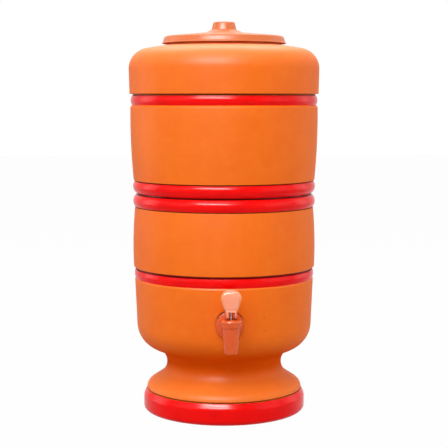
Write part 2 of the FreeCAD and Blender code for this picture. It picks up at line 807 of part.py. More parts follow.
def make_tap_body(document, d):
    """Tap body: a tapered spout, with a flange and a threaded shank behind it."""
    tap = Piece(document, "tap_body")
    tap.revolve("barrel", [
        Corner(0, -d.spout_drop),
        Corner(d.spout_radius, -d.spout_drop),
        Corner(d.barrel_radius, d.barrel_top),
        Corner(d.tap_neck_radius, d.barrel_top),
        Corner(d.tap_neck_radius, d.tap_neck_top),
        Corner(0, d.tap_neck_top),
    ])
    flange_end = d.tap_flange_start + d.tap_flange_thickness
    tap.revolve("shank", [
        Corner(0, 0),
        Corner(d.tap_shank_end, 0),
        Corner(d.tap_shank_end, d.tap_shank_radius),
        Corner(flange_end, d.tap_shank_radius),
        Corner(flange_end, d.tap_flange_radius),
        Corner(d.tap_flange_start, d.tap_flange_radius),
        Corner(d.tap_flange_start, d.tap_arm_radius),
        Corner(0, d.tap_arm_radius),
    ], plane="YZ", axis="H_Axis")
    tap.revolve("bonnet_clearance", box(d.tap_neck_radius, d.barrel_top,
                                        d.bonnet_radius + d.bonnet_gap * 2,
                                        d.barrel_top + PAST), cut=True)
    tap.revolve("water_way", [
        Corner(0, -d.spout_drop - PAST),
        Corner(d.spout_bore, -d.spout_drop - PAST),
        Corner(d.spout_bore, -d.tap_seat_drop),
        Corner(d.tap_chamber_radius, -d.tap_seat_drop),
        Corner(d.tap_chamber_radius, d.tap_neck_top + PAST),
        Corner(0, d.tap_neck_top + PAST),
    ], cut=True)
    tap.revolve("shank_bore", box(d.spout_bore, 0, d.tap_shank_end + PAST, d.tap_shank_bore),
                plane="YZ", axis="H_Axis", cut=True)
    tap.finish_edges("Chamfer", d.tap_flange_bevel,
                     on_circle(d.tap_flange_radius, d.tap_flange_start, "y"))
    tap.finish_edges("Chamfer", d.spout_bevel, on_circle(d.spout_radius, -d.spout_drop))
    return tap.place(0, -d.tap_reach, d.tap_height)


def make_tap_fixings(document, d):
    """Two rubber washers and the nut that clamp the tap through the wall of the crock."""
    facing_out = Rotation(Vector(1, 0, 0), 90)
    outer = ring(document, "tap_outer_washer", d.tap_washer_bore, d.tap_outer_washer_radius,
                 d.tap_outer_seat, d.tap_outer_seat + d.tap_washer_thickness)
    washer_start = d.tap_inner_seat - d.tap_washer_thickness
    inner = ring(document, "tap_inner_washer", d.tap_washer_bore, d.tap_inner_washer_radius,
                 washer_start, d.tap_inner_seat)
    nut = Piece(document, "tap_nut")
    corner_radius = d.tap_nut_flats * (0.5 / math.cos(math.pi / 6))
    corners = []
    for step in range(6):
        angle = math.radians(60 * step + 30)
        corners.append(Corner(corner_radius * math.cos(angle), corner_radius * math.sin(angle)))
    nut_start = washer_start - d.tap_nut_height
    nut.plate("hexagon", corners, d.tap_nut_height, plane="XY", offset=nut_start,
              both_ways=False)
    nut.disc("thread_bore", 0, 0, d.tap_shank_radius, d.tap_nut_height, plane="XY",
             offset=nut_start, both_ways=False, cut=True, away=True)
    nut.revolve("turned_corners", [
        Corner(d.tap_nut_face_radius, nut_start),
        Corner(corner_radius + d.tap_nut_chamfer, nut_start),
        Corner(corner_radius + d.tap_nut_chamfer, nut_start + d.tap_nut_chamfer),
    ], cut=True)
    for piece in (outer, inner, nut):
        piece.place(0, 0, d.tap_height, facing_out)


def make_tap_bonnet(document, d):
    """Screwed collar that closes the tap and guides the stem, and the packing under it."""
    bonnet = Piece(document, "tap_bonnet")
    thread = d.tap_neck_radius
    hole = d.stem_radius + d.stem_gap
    bonnet.revolve("collar", [
        Corner(hole, d.bonnet_ceiling),
        Corner(thread, d.bonnet_ceiling),
        Corner(thread, d.barrel_top),
        Corner(d.bonnet_foot_radius, d.barrel_top),
        Corner(d.bonnet_radius, d.bonnet_top - d.bonnet_bevel),
        Corner(d.bonnet_radius - d.bonnet_bevel, d.bonnet_top),
        Corner(d.bonnet_dish_radius, d.bonnet_top),
        Corner(d.bonnet_dish_radius, d.bonnet_top - d.bonnet_dish_depth),
        Corner(hole, d.bonnet_top - d.bonnet_dish_depth),
    ])
    packing = ring(document, "tap_stem_packing", hole, d.packing_radius,
                   d.bonnet_ceiling - d.packing_thickness, d.bonnet_ceiling)
    for piece in (bonnet, packing):
        piece.place(0, -d.tap_reach, d.tap_height)


def make_tap_plunger(document, d):
    """Stem with its spring disc and eye, the seal that it carries, its spring and lever pin."""
    stem = Piece(document, "tap_stem")
    stem.revolve("rod", [
        Corner(0, d.stem_end),
        Corner(d.stem_radius, d.stem_end),
        Corner(d.stem_radius, d.stem_disc_bottom),
        Corner(d.stem_disc_radius, d.stem_disc_bottom),
        Corner(d.stem_disc_radius, d.stem_disc_top),
        Corner(d.stem_radius, d.stem_disc_top),
        Corner(d.stem_radius, d.pin_height),
        Corner(0, d.pin_height),
    ])
    stem.disc("eye", 0, d.pin_height, d.eye_radius, d.eye_half_width * 2, plane="YZ")
    stem.disc("pin_hole", 0, d.pin_height, d.pin_radius, Size.of(THROUGH), plane="YZ",
              cut=True)

    seal = Piece(document, "tap_seal")
    seal.revolve("seal", [
        Corner(0, -d.tap_seat_drop),
        Corner(d.seal_radius, -d.tap_seat_drop),
        Corner(d.seal_radius, d.stem_disc_bottom),
        Corner(d.stem_radius, d.stem_disc_bottom),
        Corner(d.stem_radius, d.stem_end),
        Corner(0, d.stem_end),
    ])

    pin = Piece(document, "tap_lever_pin")
    pin.disc("pin", 0, d.pin_height, d.pin_radius, d.pin_half_length * 2, plane="YZ")

    spring = Piece(document, "tap_spring")
    wire = d.spring_wire * 0.5
    low = d.stem_disc_top + wire
    sketch = spring.sketch("coil", "XZ")
    Outline(sketch, box(d.spring_radius - wire, low - wire, d.spring_radius + wire, low + wire))
    coil = spring.body.newObject("PartDesign::AdditiveHelix", "tap_spring_coil")
    coil.Profile = sketch
    coil.ReferenceAxis = (sketch, ["V_Axis"])
    coil.Mode = "height-turns-growth"
    free = d.bonnet_ceiling - d.packing_thickness - d.stem_disc_top - d.spring_wire
    coil.setExpression("Height", free.text)
    coil.setExpression("Turns", d.spring_turns.text)
    for piece in (stem, seal, pin, spring):
        piece.place(0, -d.tap_reach, d.tap_height)


def cam_curve(foot, rise, tilt):
    """Return the cam as a curve in a lever's side view, with the lever's pin at the origin.

    The foot's distance under the pin grows by the rise for each radian of tilt, so the curve is
    the envelope of the bonnet's face as the lever turns: an involute.
    """
    points = []
    for step in range(CAM_POINTS):
        angle = tilt * step / (CAM_POINTS - 1)
        reach = foot + rise * angle
        points.append(Vector(-reach * math.sin(angle) - rise * math.cos(angle),
                             -reach * math.cos(angle) + rise * math.sin(angle), 0))
    curve = Part.BSplineCurve()
    curve.interpolate(points)
    return curve


def make_tap_lever(document, d):
    """Forked lever whose cam foot lifts the stem off its seat as the grip is pulled forward."""
    lever = Piece(document, "tap_lever")
    lever.plate("grip", [
        Corner(-d.lever_arm_half_width, -d.lever_foot_overlap),
        Corner(d.lever_arm_half_width, -d.lever_foot_overlap),
        Corner(d.lever_arm_half_width, d.lever_fork_top),
        Corner(d.lever_half_width, d.lever_flare_height),
        Corner(d.lever_half_width, d.lever_top, rounding=d.lever_corner_round),
        Corner(-d.lever_half_width, d.lever_top, rounding=d.lever_corner_round),
        Corner(-d.lever_half_width, d.lever_flare_height),
        Corner(-d.lever_arm_half_width, d.lever_fork_top),
    ], d.lever_half_thickness * 2)

    def grip_edge(edge):
        """Choose the edges round the front and back faces of the grip, above the fork."""
        middle = edge.CenterOfMass
        on_face = abs(abs(middle.y) - SIZES["lever_half_thickness"]) < 0.01
        return on_face and middle.z > SIZES["lever_fork_top"]

    lever.finish_edges("Fillet", d.lever_edge_round, grip_edge)

    foot_sketch = lever.sketch("foot", "YZ")
    cam = cam_curve(SIZES["lever_foot"], SIZES["lever_cam_rise"],
                    math.radians(SIZES["lever_tilt"]))
    start = cam.StartPoint
    toe = cam.EndPoint
    heel = Vector(SIZES["lever_heel"], -SIZES["lever_foot"], 0)
    back = Vector(SIZES["lever_half_thickness"], 0, 0)
    front = Vector(-SIZES["lever_half_thickness"], SIZES["lever_foot_front"], 0)
    route = [start, heel, back, front, toe]
    foot_sketch.addGeometry(cam, False)
    for first, last in zip(route, route[1:]):
        foot_sketch.addGeometry(Part.LineSegment(first, last), False)
    lever.extrude("foot", foot_sketch, d.lever_arm_half_width * 2)

    pocket = d.lever_eye_pocket
    reach = d.lever_fork_reach
    lever.plate("fork_gap", [
        Corner(-reach, -reach),
        Corner(reach, -reach),
        Corner(reach, pocket),
        Corner(-pocket, pocket, rounding=d.lever_eye_pocket_round),
        Corner(-pocket, d.lever_eye_pocket_floor),
        Corner(-d.lever_half_thickness, d.lever_fork_top),
        Corner(-reach, d.lever_fork_top),
    ], d.lever_fork_half_gap * 2, plane="YZ", cut=True)
    lever.disc("pin_hole", 0, 0, d.pin_radius + d.running_gap, Size.of(THROUGH), plane="YZ",
               cut=True)
    return lever.place(0, -d.tap_reach, d.tap_height + d.pin_height)


def write_parts(document):
    """Check every object, then write each sub-part to its own file."""
    faults = [item.Name for item in document.Objects
              if "Invalid" in item.State or "Error" in item.State]
    if faults:
        raise RuntimeError(f"these objects failed: {faults}")
    bodies = [item for item in document.Objects if item.TypeId == "PartDesign::Body"]
    for body in bodies:
        if body.Shape.isNull() or not body.Shape.isValid() or len(body.Shape.Solids) != 1:
            raise RuntimeError(f"{body.Label} is not one valid solid")
    os.makedirs("parts", exist_ok=True)
    for body in bodies:
        print(f"{body.Label}: {body.Shape.Volume / 1000:.2f} cm3")
        body.Shape.exportStep(f"parts/{body.Label}.step")


def main():
    """Build the filter and write its parts."""
    document = FreeCAD.newDocument("clay_water_filter")
    d = Sizes(document)
    document.recompute()
    make_lower_pot(document, d)
    make_upper_pot(document, d)
    make_lid(document, d)
    make_candle(document, d)
    make_float_valve(document, d)
    make_tap_body(document, d)
    make_tap_fixings(document, d)
    make_tap_bonnet(document, d)
    make_tap_plunger(document, d)
    make_tap_lever(document, d)
    document.recompute()
    write_parts(document)


main()
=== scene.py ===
"""Looks of a clay water filter: two stacked crocks on a foot, with a lid, a candle and a tap.

Sizes are millimetres in the sub-assemblies' own fields and metres in the finished meshes.
+Z is up, the tap points along -Y, and the origin is on the crocks' axis, under the foot.

An outline is a run of corners, counterclockwise. Each has how far out and how high it is, then
the radius that rounds it, then the radius of the arc that bows outwards from it to the next.
"""

import json
import logging
import math
from dataclasses import dataclass
from enum import Enum
from typing import Sequence, Union

import bmesh
import bpy
from bmesh.types import BMesh, BMVert
from mathutils import Euler, Matrix, Vector

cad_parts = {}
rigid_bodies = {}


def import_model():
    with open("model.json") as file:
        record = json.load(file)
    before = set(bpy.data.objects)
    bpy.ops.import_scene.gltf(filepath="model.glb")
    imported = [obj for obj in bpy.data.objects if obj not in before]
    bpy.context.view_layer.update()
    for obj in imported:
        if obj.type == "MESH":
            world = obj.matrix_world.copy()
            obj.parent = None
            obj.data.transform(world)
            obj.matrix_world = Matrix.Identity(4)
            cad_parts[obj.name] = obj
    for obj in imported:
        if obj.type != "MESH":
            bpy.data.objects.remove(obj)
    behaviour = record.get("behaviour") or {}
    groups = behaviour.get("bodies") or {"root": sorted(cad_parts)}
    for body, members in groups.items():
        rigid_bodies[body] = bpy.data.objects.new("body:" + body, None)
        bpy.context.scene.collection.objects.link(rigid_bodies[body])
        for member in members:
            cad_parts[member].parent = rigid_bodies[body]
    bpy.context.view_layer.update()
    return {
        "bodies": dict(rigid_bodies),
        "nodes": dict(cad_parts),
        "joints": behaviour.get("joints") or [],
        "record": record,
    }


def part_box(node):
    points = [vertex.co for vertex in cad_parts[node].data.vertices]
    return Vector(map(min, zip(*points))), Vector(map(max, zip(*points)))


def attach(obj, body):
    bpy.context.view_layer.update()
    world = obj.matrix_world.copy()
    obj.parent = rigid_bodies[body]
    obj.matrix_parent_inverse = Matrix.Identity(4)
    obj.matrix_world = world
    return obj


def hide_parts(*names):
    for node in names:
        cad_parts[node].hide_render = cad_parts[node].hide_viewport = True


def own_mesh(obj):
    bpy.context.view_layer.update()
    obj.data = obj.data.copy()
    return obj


LOG = logging.getLogger("clay_filter")
MM = 0.001
MERGE = 0.0005  # mm, closer points are one point
CREASE = math.radians(32)  # an edge sharper than this is shaded sharp
BOW_EDGES = 5  # how many edges a bowed side has over what its turn asks for
PAST = 20.0  # mm, how far a cutter runs past the face that it opens
Triple = tuple[float, float, float]
Colour = Triple
Pair = tuple[float, float]
Outline = Sequence[tuple[float, ...]]
Number = Union[float, "Value"]
Material = bpy.types.Material


class Axis(Enum):
    """A direction of the part's own frame."""

    X = (1.0, 0.0, 0.0)
    Z = (0.0, 0.0, 1.0)


class Combine(Enum):
    """How one mesh is combined with another."""

    CUT = "DIFFERENCE"
    FUSE = "UNION"
    SHARE = "INTERSECT"


def screen(*levels: int) -> Colour:
    """Return the linear colour of a screen's red, green and blue of 0 to 255."""
    shares = [level / 255 for level in levels]
    return tuple(s / 12.92 if s <= 0.04045 else ((s + 0.055) / 1.055) ** 2.4 for s in shares)


# ---- materials ----

@dataclass(frozen=True)
class Value:
    """A node's output as a number, vector, colour or shader in an expression."""

    nodes: "Nodes"
    socket: bpy.types.NodeSocket

    def sum(self, operation: str, first: Number, second: Number) -> "Value":
        """Return the output of one Math node with two values or links."""
        return self.nodes.node("ShaderNodeMath", {"operation": operation}, {0: first, 1: second})

    def __add__(self, other: Number) -> "Value":
        """Return self + other."""
        return self.sum("ADD", self, other)

    __radd__ = __add__

    def __sub__(self, other: Number) -> "Value":
        """Return self - other."""
        return self.sum("SUBTRACT", self, other)

    def __rsub__(self, other: Number) -> "Value":
        """Return other - self."""
        return self.sum("SUBTRACT", other, self)

    def __mul__(self, other: Number) -> "Value":
        """Return self * other."""
        return self.sum("MULTIPLY", self, other)

    __rmul__ = __mul__

    def step(self, low: float, high: float) -> "Value":
        """Return a share that rises smoothly from 0 at low to 1 at high."""
        return self.nodes.node("ShaderNodeMapRange", {"interpolation_type": "SMOOTHSTEP"},
                               {"Value": self, "From Min": low, "From Max": high}, "Result")


@dataclass
class Nodes:
    """A tree of shader nodes."""

    tree: bpy.types.NodeTree

    def node(self, kind: str, settings: dict, inputs: dict, output: int | str = 0) -> Value:
        """Add any node.

        Args:
            kind: the node's type.
            settings: what is set on the node itself, before its sockets.
            inputs: the value or link of each socket, by name or number.
            output: the output that is wanted, by name or number.

        Returns:
            That output.
        """
        made = self.tree.nodes.new(kind)
        for name, setting in settings.items():
            setattr(made, name, setting)
        for key, value in inputs.items():
            self.feed(made.inputs[key], value)
        return Value(self, made.outputs[output])

    def feed(self, socket: bpy.types.NodeSocket, value: object) -> None:
        """Link a Value to a socket, or set the socket.

        Args:
            socket: the input socket.
            value: a Value, a number or a colour.
        """
        if isinstance(value, Value):
            self.tree.links.new(value.socket, socket)
        elif socket.type == "RGBA":
            socket.default_value = (*value, 1.0)
        else:
            socket.default_value = value

    def looked_at(self) -> Value:
        """Return 1 for what is seen by eye, in a reflection or through something clear."""
        rays = ("Is Camera Ray", "Is Glossy Ray", "Is Transmission Ray")
        return sum(self.node("ShaderNodeLightPath", {}, {}, ray) for ray in rays)


class Paint(Nodes):
    """One material's nodes, round a Principled shader."""

    def __init__(self, name: str) -> None:
        """Start a material.

        Args:
            name: the material's name.
        """
        self.material = bpy.data.materials.new(name)
        self.material.use_nodes = True
        super().__init__(self.material.node_tree)
        self.shader = self.tree.nodes["Principled BSDF"]
        self.place = self.node("ShaderNodeTexCoord", {}, {}, "Object")

    def set(self, **values: object) -> None:
        """Set or link the shader's sockets, with _ for each space in their names."""
        for name, value in values.items():
            self.feed(self.shader.inputs[name.replace("_", " ")], value)

    def stretched(self, across: float, up: float) -> Value:
        """Return the place scaled across the part's axis and along it."""
        return self.node("ShaderNodeVectorMath", {"operation": "MULTIPLY"},
                         {0: self.place, 1: (across, across, up)}, "Vector")

    def noise(self, size: float, detail: float = 2.0, place: Value | None = None) -> Value:
        """Return a noise of 0 to 1 by its grain in metres, its finer layers and its place."""
        inputs = {"Vector": place or self.place, "Scale": 1 / size, "Detail": detail}
        return self.node("ShaderNodeTexNoise", {}, inputs, "Fac")

    def near(self, point: Triple) -> Value:
        """Return the distance to a point of the part's frame."""
        return self.node("ShaderNodeVectorMath", {"operation": "DISTANCE"},
                         {0: self.place, 1: point}, "Value")

    def part(self, letter: str) -> Value:
        """Return one coordinate of the place, by its letter."""
        return self.node("ShaderNodeSeparateXYZ", {}, {0: self.place}, letter)

    def mix(self, first: object, second: object, share: Number) -> Value:
        """Return two colours mixed, by the share of the second."""
        return self.node("ShaderNodeMix", {"data_type": "RGBA"},
                         {"Factor": share, 6: first, 7: second}, 2)

    def coated(self, colour: object, *coats: tuple[Colour, Value]) -> Value:
        """Lay coats over a colour.

        Args:
            colour: what is under them.
            coats: the colour of each, and how much it covers.

        Returns:
            The colour that shows.
        """
        for coat, share in coats:
            colour = self.mix(colour, coat, share)
        return colour

    def grooves(self, crease_shade: Colour, heights: Sequence[Pair]) -> list[tuple[Colour, Value]]:
        """Make a coat of painted shade for each groove turned round a part.

        Args:
            crease_shade: the colour of the painted shade in them.
            heights: the lowest and highest point of each, in metres.

        Returns:
            The coats.
        """
        up = self.part("Z")
        soft = 0.0002
        # painted shade: each groove's height band is darkened
        return [(crease_shade, (up.step(low - soft, low) - up.step(high, high + soft)) * 0.8)
                for low, high in heights]

    def bump(self, height: Value, depth: float) -> Value:
        """Return the normal of a height of 0 to 1, by how deep 1 is in metres."""
        return self.node("ShaderNodeBump", {}, {"Height": height, "Distance": depth}, "Normal")


@dataclass(frozen=True)
class Finish:
    """What a piece is made of."""

    name: str

    def make(self) -> Material:
        """Make the finish.

        Returns:
            Its material.
        """
        paint = Paint(self.name)
        self.shade(paint)
        return paint.material

    def shade(self, paint: Paint) -> None:
        """Set the shader's sockets, in each finish's own way."""
        raise NotImplementedError


@dataclass(frozen=True)
class FiredClay(Finish):
    """Unglazed, finely slipped terracotta."""

    name: str = "fired_clay"
    body: Colour = screen(244, 112, 12)
    ruddy: Colour = screen(238, 102, 10)
    pale: Colour = screen(248, 120, 22)
    # painted shade: darker clay at the waist, where the bowl above shades it
    painted_waist_shade: Colour = screen(216, 74, 2)
    # painted sheen: paler clay on the shoulder, where it reflects the room
    painted_shoulder_sheen: Colour = screen(250, 146, 84)
    # painted light: lighter clay on the foot's flare, where light falls on it
    painted_foot_light: Colour = screen(252, 142, 62)
    specks: Colour = screen(150, 58, 20)
    # painted shade: darker clay in the grooves, where shade falls
    crease_shade: Colour = screen(96, 26, 4)
    chipped: Colour = screen(176, 62, 10)
    pits: tuple[Triple, ...] = ((0.0349, -0.0863, 0.1109), (0.0366, -0.0850, 0.0974))
    # heights of the grooves that get the painted shade
    creases: tuple[Pair, ...] = ()

    def shade(self, paint: Paint) -> None:
        """Mottle the clay, paint shade on its waist and in its grooves, a sheen on its shoulder
        and light on its foot.

        Args:
            paint: the material's nodes.
        """
        cloud = paint.noise(0.06, 3.0).step(0.35, 0.7)
        mottle = paint.noise(0.011, 4.0).step(0.4, 0.75)
        rings = paint.noise(0.0035, 3.0, paint.stretched(0.04, 1.0))
        grain = paint.noise(0.0009, 3.0)
        speck = paint.noise(0.0016, 1.0).step(0.76, 0.8)
        up = paint.part("Z")
        # painted shade: the waist under the bowl is darkened
        waist = up.step(0.038, 0.054) - up.step(0.063, 0.088)
        # painted sheen: the top of the shoulder is paled
        top = up.step(0.358, 0.384)
        # painted light: the flare of the foot is lightened
        wear_and_foot_light = 1.0 - up.step(0.036, 0.047)
        colour = paint.coated(
            self.body, (self.ruddy, cloud * 0.55), (self.pale, mottle * 0.35),
            (self.ruddy, rings.step(0.55, 0.75) * 0.25), (self.specks, speck * 0.35),
            (self.painted_waist_shade, waist * 0.7), (self.painted_shoulder_sheen, top * 0.65), (self.painted_foot_light, wear_and_foot_light * 0.3),
            *paint.grooves(self.crease_shade, self.creases))
        height = grain * 0.25 + rings * 0.75
        for pit in self.pits:
            dent = 1.0 - (paint.near(pit) + grain * 0.0004).step(0.0004, 0.0014)
            colour = paint.mix(colour, self.chipped, dent * 0.8)
            height = height - dent
        paint.set(Base_Color=colour, Roughness=0.6 + mottle * 0.1, Specular_IOR_Level=0.0,
                  Coat_Weight=0.65 - waist * 0.6 + top * 0.35, Coat_IOR=1.3,
                  Coat_Roughness=0.46, Normal=paint.bump(height, 0.00006))


@dataclass(frozen=True)
class RedEnamel(Finish):
    """Thick red enamel brushed into the bands as the crock turned."""

    name: str = "red_enamel"
    body: Colour = screen(246, 6, 4)
    thick: Colour = screen(218, 2, 3)
    # painted shade: darker red in the groove and in the gap between the beads
    crease_shade: Colour = screen(84, 0, 0)
    creases: tuple[Pair, ...] = ()

    def shade(self, paint: Paint) -> None:
        """Pool the enamel in places, leave the brush's lines in it, and paint shade in its
        grooves.

        Args:
            paint: the material's nodes.
        """
        brushed = paint.noise(0.0016, 3.0, paint.stretched(0.05, 1.0))
        pooled = paint.noise(0.02, 2.0).step(0.45, 0.75)
        uneven = paint.noise(0.006, 2.0)
        colour = paint.coated(self.body, (self.thick, pooled * 0.35),
                              *paint.grooves(self.crease_shade, self.creases))
        paint.set(Base_Color=colour, Roughness=0.2 + brushed * 0.06, Specular_IOR_Level=0.1,
                  Normal=paint.bump(brushed * 0.3 + uneven * 0.7, 0.00008))


@dataclass(frozen=True)
class Moulded(Finish):
    """Moulded plastic or rubber: a smooth skin with faint flow marks and handling marks."""

    body: Colour
    flow: Colour
    gloss: float = 0.35
    shine: float = 0.5
    glow: float = 0.0
    depth: float = 0.00002

    def shade(self, paint: Paint) -> None:
        """Streak the colour where the plastic flowed, and dull the skin where it is handled.

        Args:
            paint: the material's nodes.
        """
        streaks = paint.noise(0.012, 3.0, paint.stretched(1.0, 0.35)).step(0.4, 0.7)
        skin = paint.noise(0.0008, 2.0)
        wear_and_foot_light = paint.noise(0.004, 3.0).step(0.5, 0.8)
        colour = self.tone(paint, paint.mix(self.body, self.flow, streaks * 0.4))
        paint.set(Base_Color=colour, Roughness=self.gloss + wear_and_foot_light * 0.08,
                  Specular_IOR_Level=self.shine, Subsurface_Weight=self.glow,
                  Subsurface_Scale=0.004, Normal=paint.bump(skin, self.depth))

    def tone(self, paint: Paint, colour: Value) -> Value:
        """Return the colour as it is; a finish with painted light or shade changes it."""
        return colour


@dataclass(frozen=True)
class LeverPlastic(Moulded):
    """Pale plastic, painted warmer at the lever's thin sides where light shines through, and
    painted darker at its foot where it is in shade.
    """

    # painted light: warmer colour at the thin sides, where light shines through
    painted_side_light: Colour = screen(250, 158, 84)
    # painted shade: darker colour at the foot, which the grip shades
    painted_foot_shade: Colour = screen(206, 92, 44)
    side: Pair = (0.0055, 0.0098)
    foot: Pair = (0.1200, 0.1264)

    def tone(self, paint: Paint, colour: Value) -> Value:
        """Paint light towards the thin sides and shade towards the foot.

        Args:
            paint: the material's nodes.
            colour: the colour of the lever's middle.

        Returns:
            The colour with its painted light and shade.
        """
        across = paint.part("X") * paint.part("X")
        low, high = self.side
        # painted light: warmer towards the sides
        colour = paint.mix(colour, self.painted_side_light, across.step(low ** 2, high ** 2) * 0.7)
        # painted shade: darker towards the foot
        return paint.mix(self.painted_foot_shade, colour, paint.part("Z").step(*self.foot))


@dataclass(frozen=True)
class PorousCeramic(Finish):
    """White filter ceramic, chalky and faintly speckled."""

    name: str = "porous_ceramic"
    body: Colour = screen(240, 236, 224)
    stain: Colour = screen(222, 208, 178)

    def shade(self, paint: Paint) -> None:
        """Stain the ceramic in clouds and pores, and leave the marks of turning.

        Args:
            paint: the material's nodes.
        """
        cloud = paint.noise(0.02, 4.0).step(0.4, 0.75)
        pores = paint.noise(0.0006, 2.0)
        marks = paint.noise(0.0012, 2.0, paint.stretched(0.05, 1.0))
        colour = paint.coated(self.body, (self.stain, cloud * 0.4),
                              (self.stain, pores.step(0.6, 0.75) * 0.5))
        paint.set(Base_Color=colour, Roughness=0.8 + pores * 0.1, Specular_IOR_Level=0.3,
                  Normal=paint.bump(pores * 0.6 + marks * 0.4, 0.00006))


@dataclass(frozen=True)
class PressedCarbon(Finish):
    """Black granular carbon block."""

    name: str = "pressed_carbon"
    body: Colour = (0.006, 0.006, 0.006)
    glint: Colour = (0.035, 0.034, 0.032)

    def shade(self, paint: Paint) -> None:
        """Set the shader's sockets for a coarse black grain."""
        grains = paint.noise(0.0007, 4.0)
        paint.set(Base_Color=paint.mix(self.body, self.glint, grains.step(0.4, 0.7)),
                  Roughness=0.75 + grains * 0.2, Normal=paint.bump(grains, 0.0002))


@dataclass(frozen=True)
class DrawnSteel(Finish):
    """Stainless wire and pins, with faint lines along them."""

    name: str = "drawn_steel"
    body: Colour = (0.56, 0.55, 0.54)
    dull: Colour = (0.42, 0.41, 0.40)

    def shade(self, paint: Paint) -> None:
        """Draw lines along the metal, and dull it in places.

        Args:
            paint: the material's nodes.
        """
        lines = paint.noise(0.0003, 3.0, paint.stretched(1.0, 0.08))
        dulled = paint.noise(0.004, 2.0).step(0.45, 0.8)
        paint.set(Base_Color=paint.mix(self.body, self.dull, dulled * 0.5), Metallic=1.0,
                  Roughness=0.22 + lines * 0.18, Normal=paint.bump(lines, 0.000008))


# ---- turning and joining meshes ----

@dataclass(frozen=True)
class Corner:
    """A corner of an outline: rounded, or the start of an arc that bows outwards."""

    across: float
    up: float
    rounding: float = 0.0
    bow: float = 0.0

    @property
    def point(self) -> Vector:
        """Return the corner in the plane that outlines are drawn in."""
        return Vector((self.across, 0.0, self.up))

    def ends(self, before: "Corner", after: "Corner") -> tuple[Vector, Vector, Vector]:
        """Find the corner's rounding.

        Args:
            before: the corner before it.
            after: the corner after it.

        Returns:
            Where the rounding starts, where it ends and what it turns round.
        """
        if not self.rounding:
            return self.point, self.point, self.point
        back = (before.point - self.point).normalized()
        onward = (after.point - self.point).normalized()
        half = back.angle(onward) / 2
        reach = self.rounding / math.tan(half)
        middle = (back + onward).normalized() * (self.rounding / math.sin(half))
        return self.point + back * reach, self.point + onward * reach, self.point + middle


@dataclass
class Pen:
    """Draws a chain of edges in the XZ plane, an arc's at so many degrees to each other."""

    mesh: BMesh
    fineness: float
    last: BMVert | None = None

    def line(self, point: Vector) -> None:
        """Draw straight on to a point, or start there.

        Args:
            point: the point.
        """
        if self.last is None:
            self.last = self.mesh.verts.new(point)
            return
        self.last = bmesh.ops.extrude_vert_indiv(self.mesh, verts=[self.last])["verts"][0]
        self.last.co = point

    def arc(self, end: Vector, centre: Vector, more: int = 0) -> None:
        """Draw an arc from where the pen is.

        Args:
            end: where the arc ends.
            centre: what it turns round.
            more: how many edges it has over what its turn asks for.
        """
        first, last = self.last.co - centre, end - centre
        turn = first.angle(last)
        steps = max(3, math.ceil(math.degrees(turn) / self.fineness)) + more
        made = bmesh.ops.spin(self.mesh, geom=[self.last], cent=centre, angle=turn, steps=steps,
                              axis=first.cross(last).normalized(), use_merge=False,
                              use_duplicate=False)
        self.last = [item for item in made["geom_last"] if isinstance(item, BMVert)][0]


def drawn(outline: Outline, fineness: float) -> BMesh:
    """Draw a closed outline with its roundings and bowed sides.

    Args:
        outline: the outline.
        fineness: the angle between the edges of an arc, in degrees.

    Returns:
        A mesh of edges.
    """
    mesh = bmesh.new()
    pen = Pen(mesh, fineness)
    corners = [Corner(*numbers) for numbers in outline]
    following = corners[1:] + corners[:1]
    ends = [corner.ends(corners[index - 1], following[index])
            for index, corner in enumerate(corners)]
    for index, corner in enumerate(corners):
        start, end, centre = ends[index]
        pen.line(start)
        if corner.rounding:
            pen.arc(end, centre)
        if corner.bow:
            goal = ends[(index + 1) % len(corners)][0]
            half_chord = (goal - end) / 2
            reach = math.sqrt(corner.bow ** 2 - half_chord.length ** 2)
            side = Vector((-half_chord.z, 0.0, half_chord.x)).normalized()
            pen.arc(goal, end + half_chord + side * reach, BOW_EDGES)
    mesh.verts.ensure_lookup_table()
    mesh.edges.new((pen.last, mesh.verts[0]))
    bmesh.ops.remove_doubles(mesh, verts=mesh.verts, dist=MERGE)
    return mesh


def closed(mesh: BMesh) -> BMesh:
    """Merge doubles and turn the faces outwards.

    Args:
        mesh: the mesh to close.

    Returns:
        The same mesh.
    """
    bmesh.ops.remove_doubles(mesh, verts=mesh.verts, dist=MERGE)
    bmesh.ops.dissolve_degenerate(mesh, edges=mesh.edges, dist=MERGE)
    bmesh.ops.recalc_face_normals(mesh, faces=mesh.faces)
    return mesh


def turned(outline: Outline, steps: int, fineness: float = 8.0) -> BMesh:
    """Turn a closed outline round the Z axis.

    Args:
        outline: the outline.
        steps: how many faces go round.
        fineness: the angle between the edges of an arc, in degrees.

    Returns:
        A closed mesh.
    """
    mesh = drawn(outline, fineness)
    bmesh.ops.spin(mesh, geom=[*mesh.verts, *mesh.edges], axis=Axis.Z.value, cent=(0, 0, 0),
                   angle=math.tau, steps=steps, use_merge=True, use_duplicate=False)
    return closed(mesh)


def cylinder(radius: float, low: float, high: float, steps: int) -> BMesh:
    """Return a cylinder on the Z axis between two heights."""
    return turned([(0, low), (radius, low), (radius, high), (0, high)], steps)


def swept(mesh: BMesh, rise: float, turns: float, steps: int) -> BMesh:
    """Wind a flat section round the Z axis as it climbs.

    Args:
        mesh: the section.
        rise: how far it climbs in all.
        turns: how many times it goes round.
        steps: how many faces that takes.

    Returns:
        The same mesh, closed.
    """
    bmesh.ops.spin(mesh, geom=[*mesh.verts, *mesh.edges, *mesh.faces], cent=(0, 0, 0),
                   axis=Axis.Z.value, dvec=(0, 0, rise / steps), angle=math.tau * turns,
                   steps=steps, use_merge=False, use_duplicate=False)
    return closed(mesh)


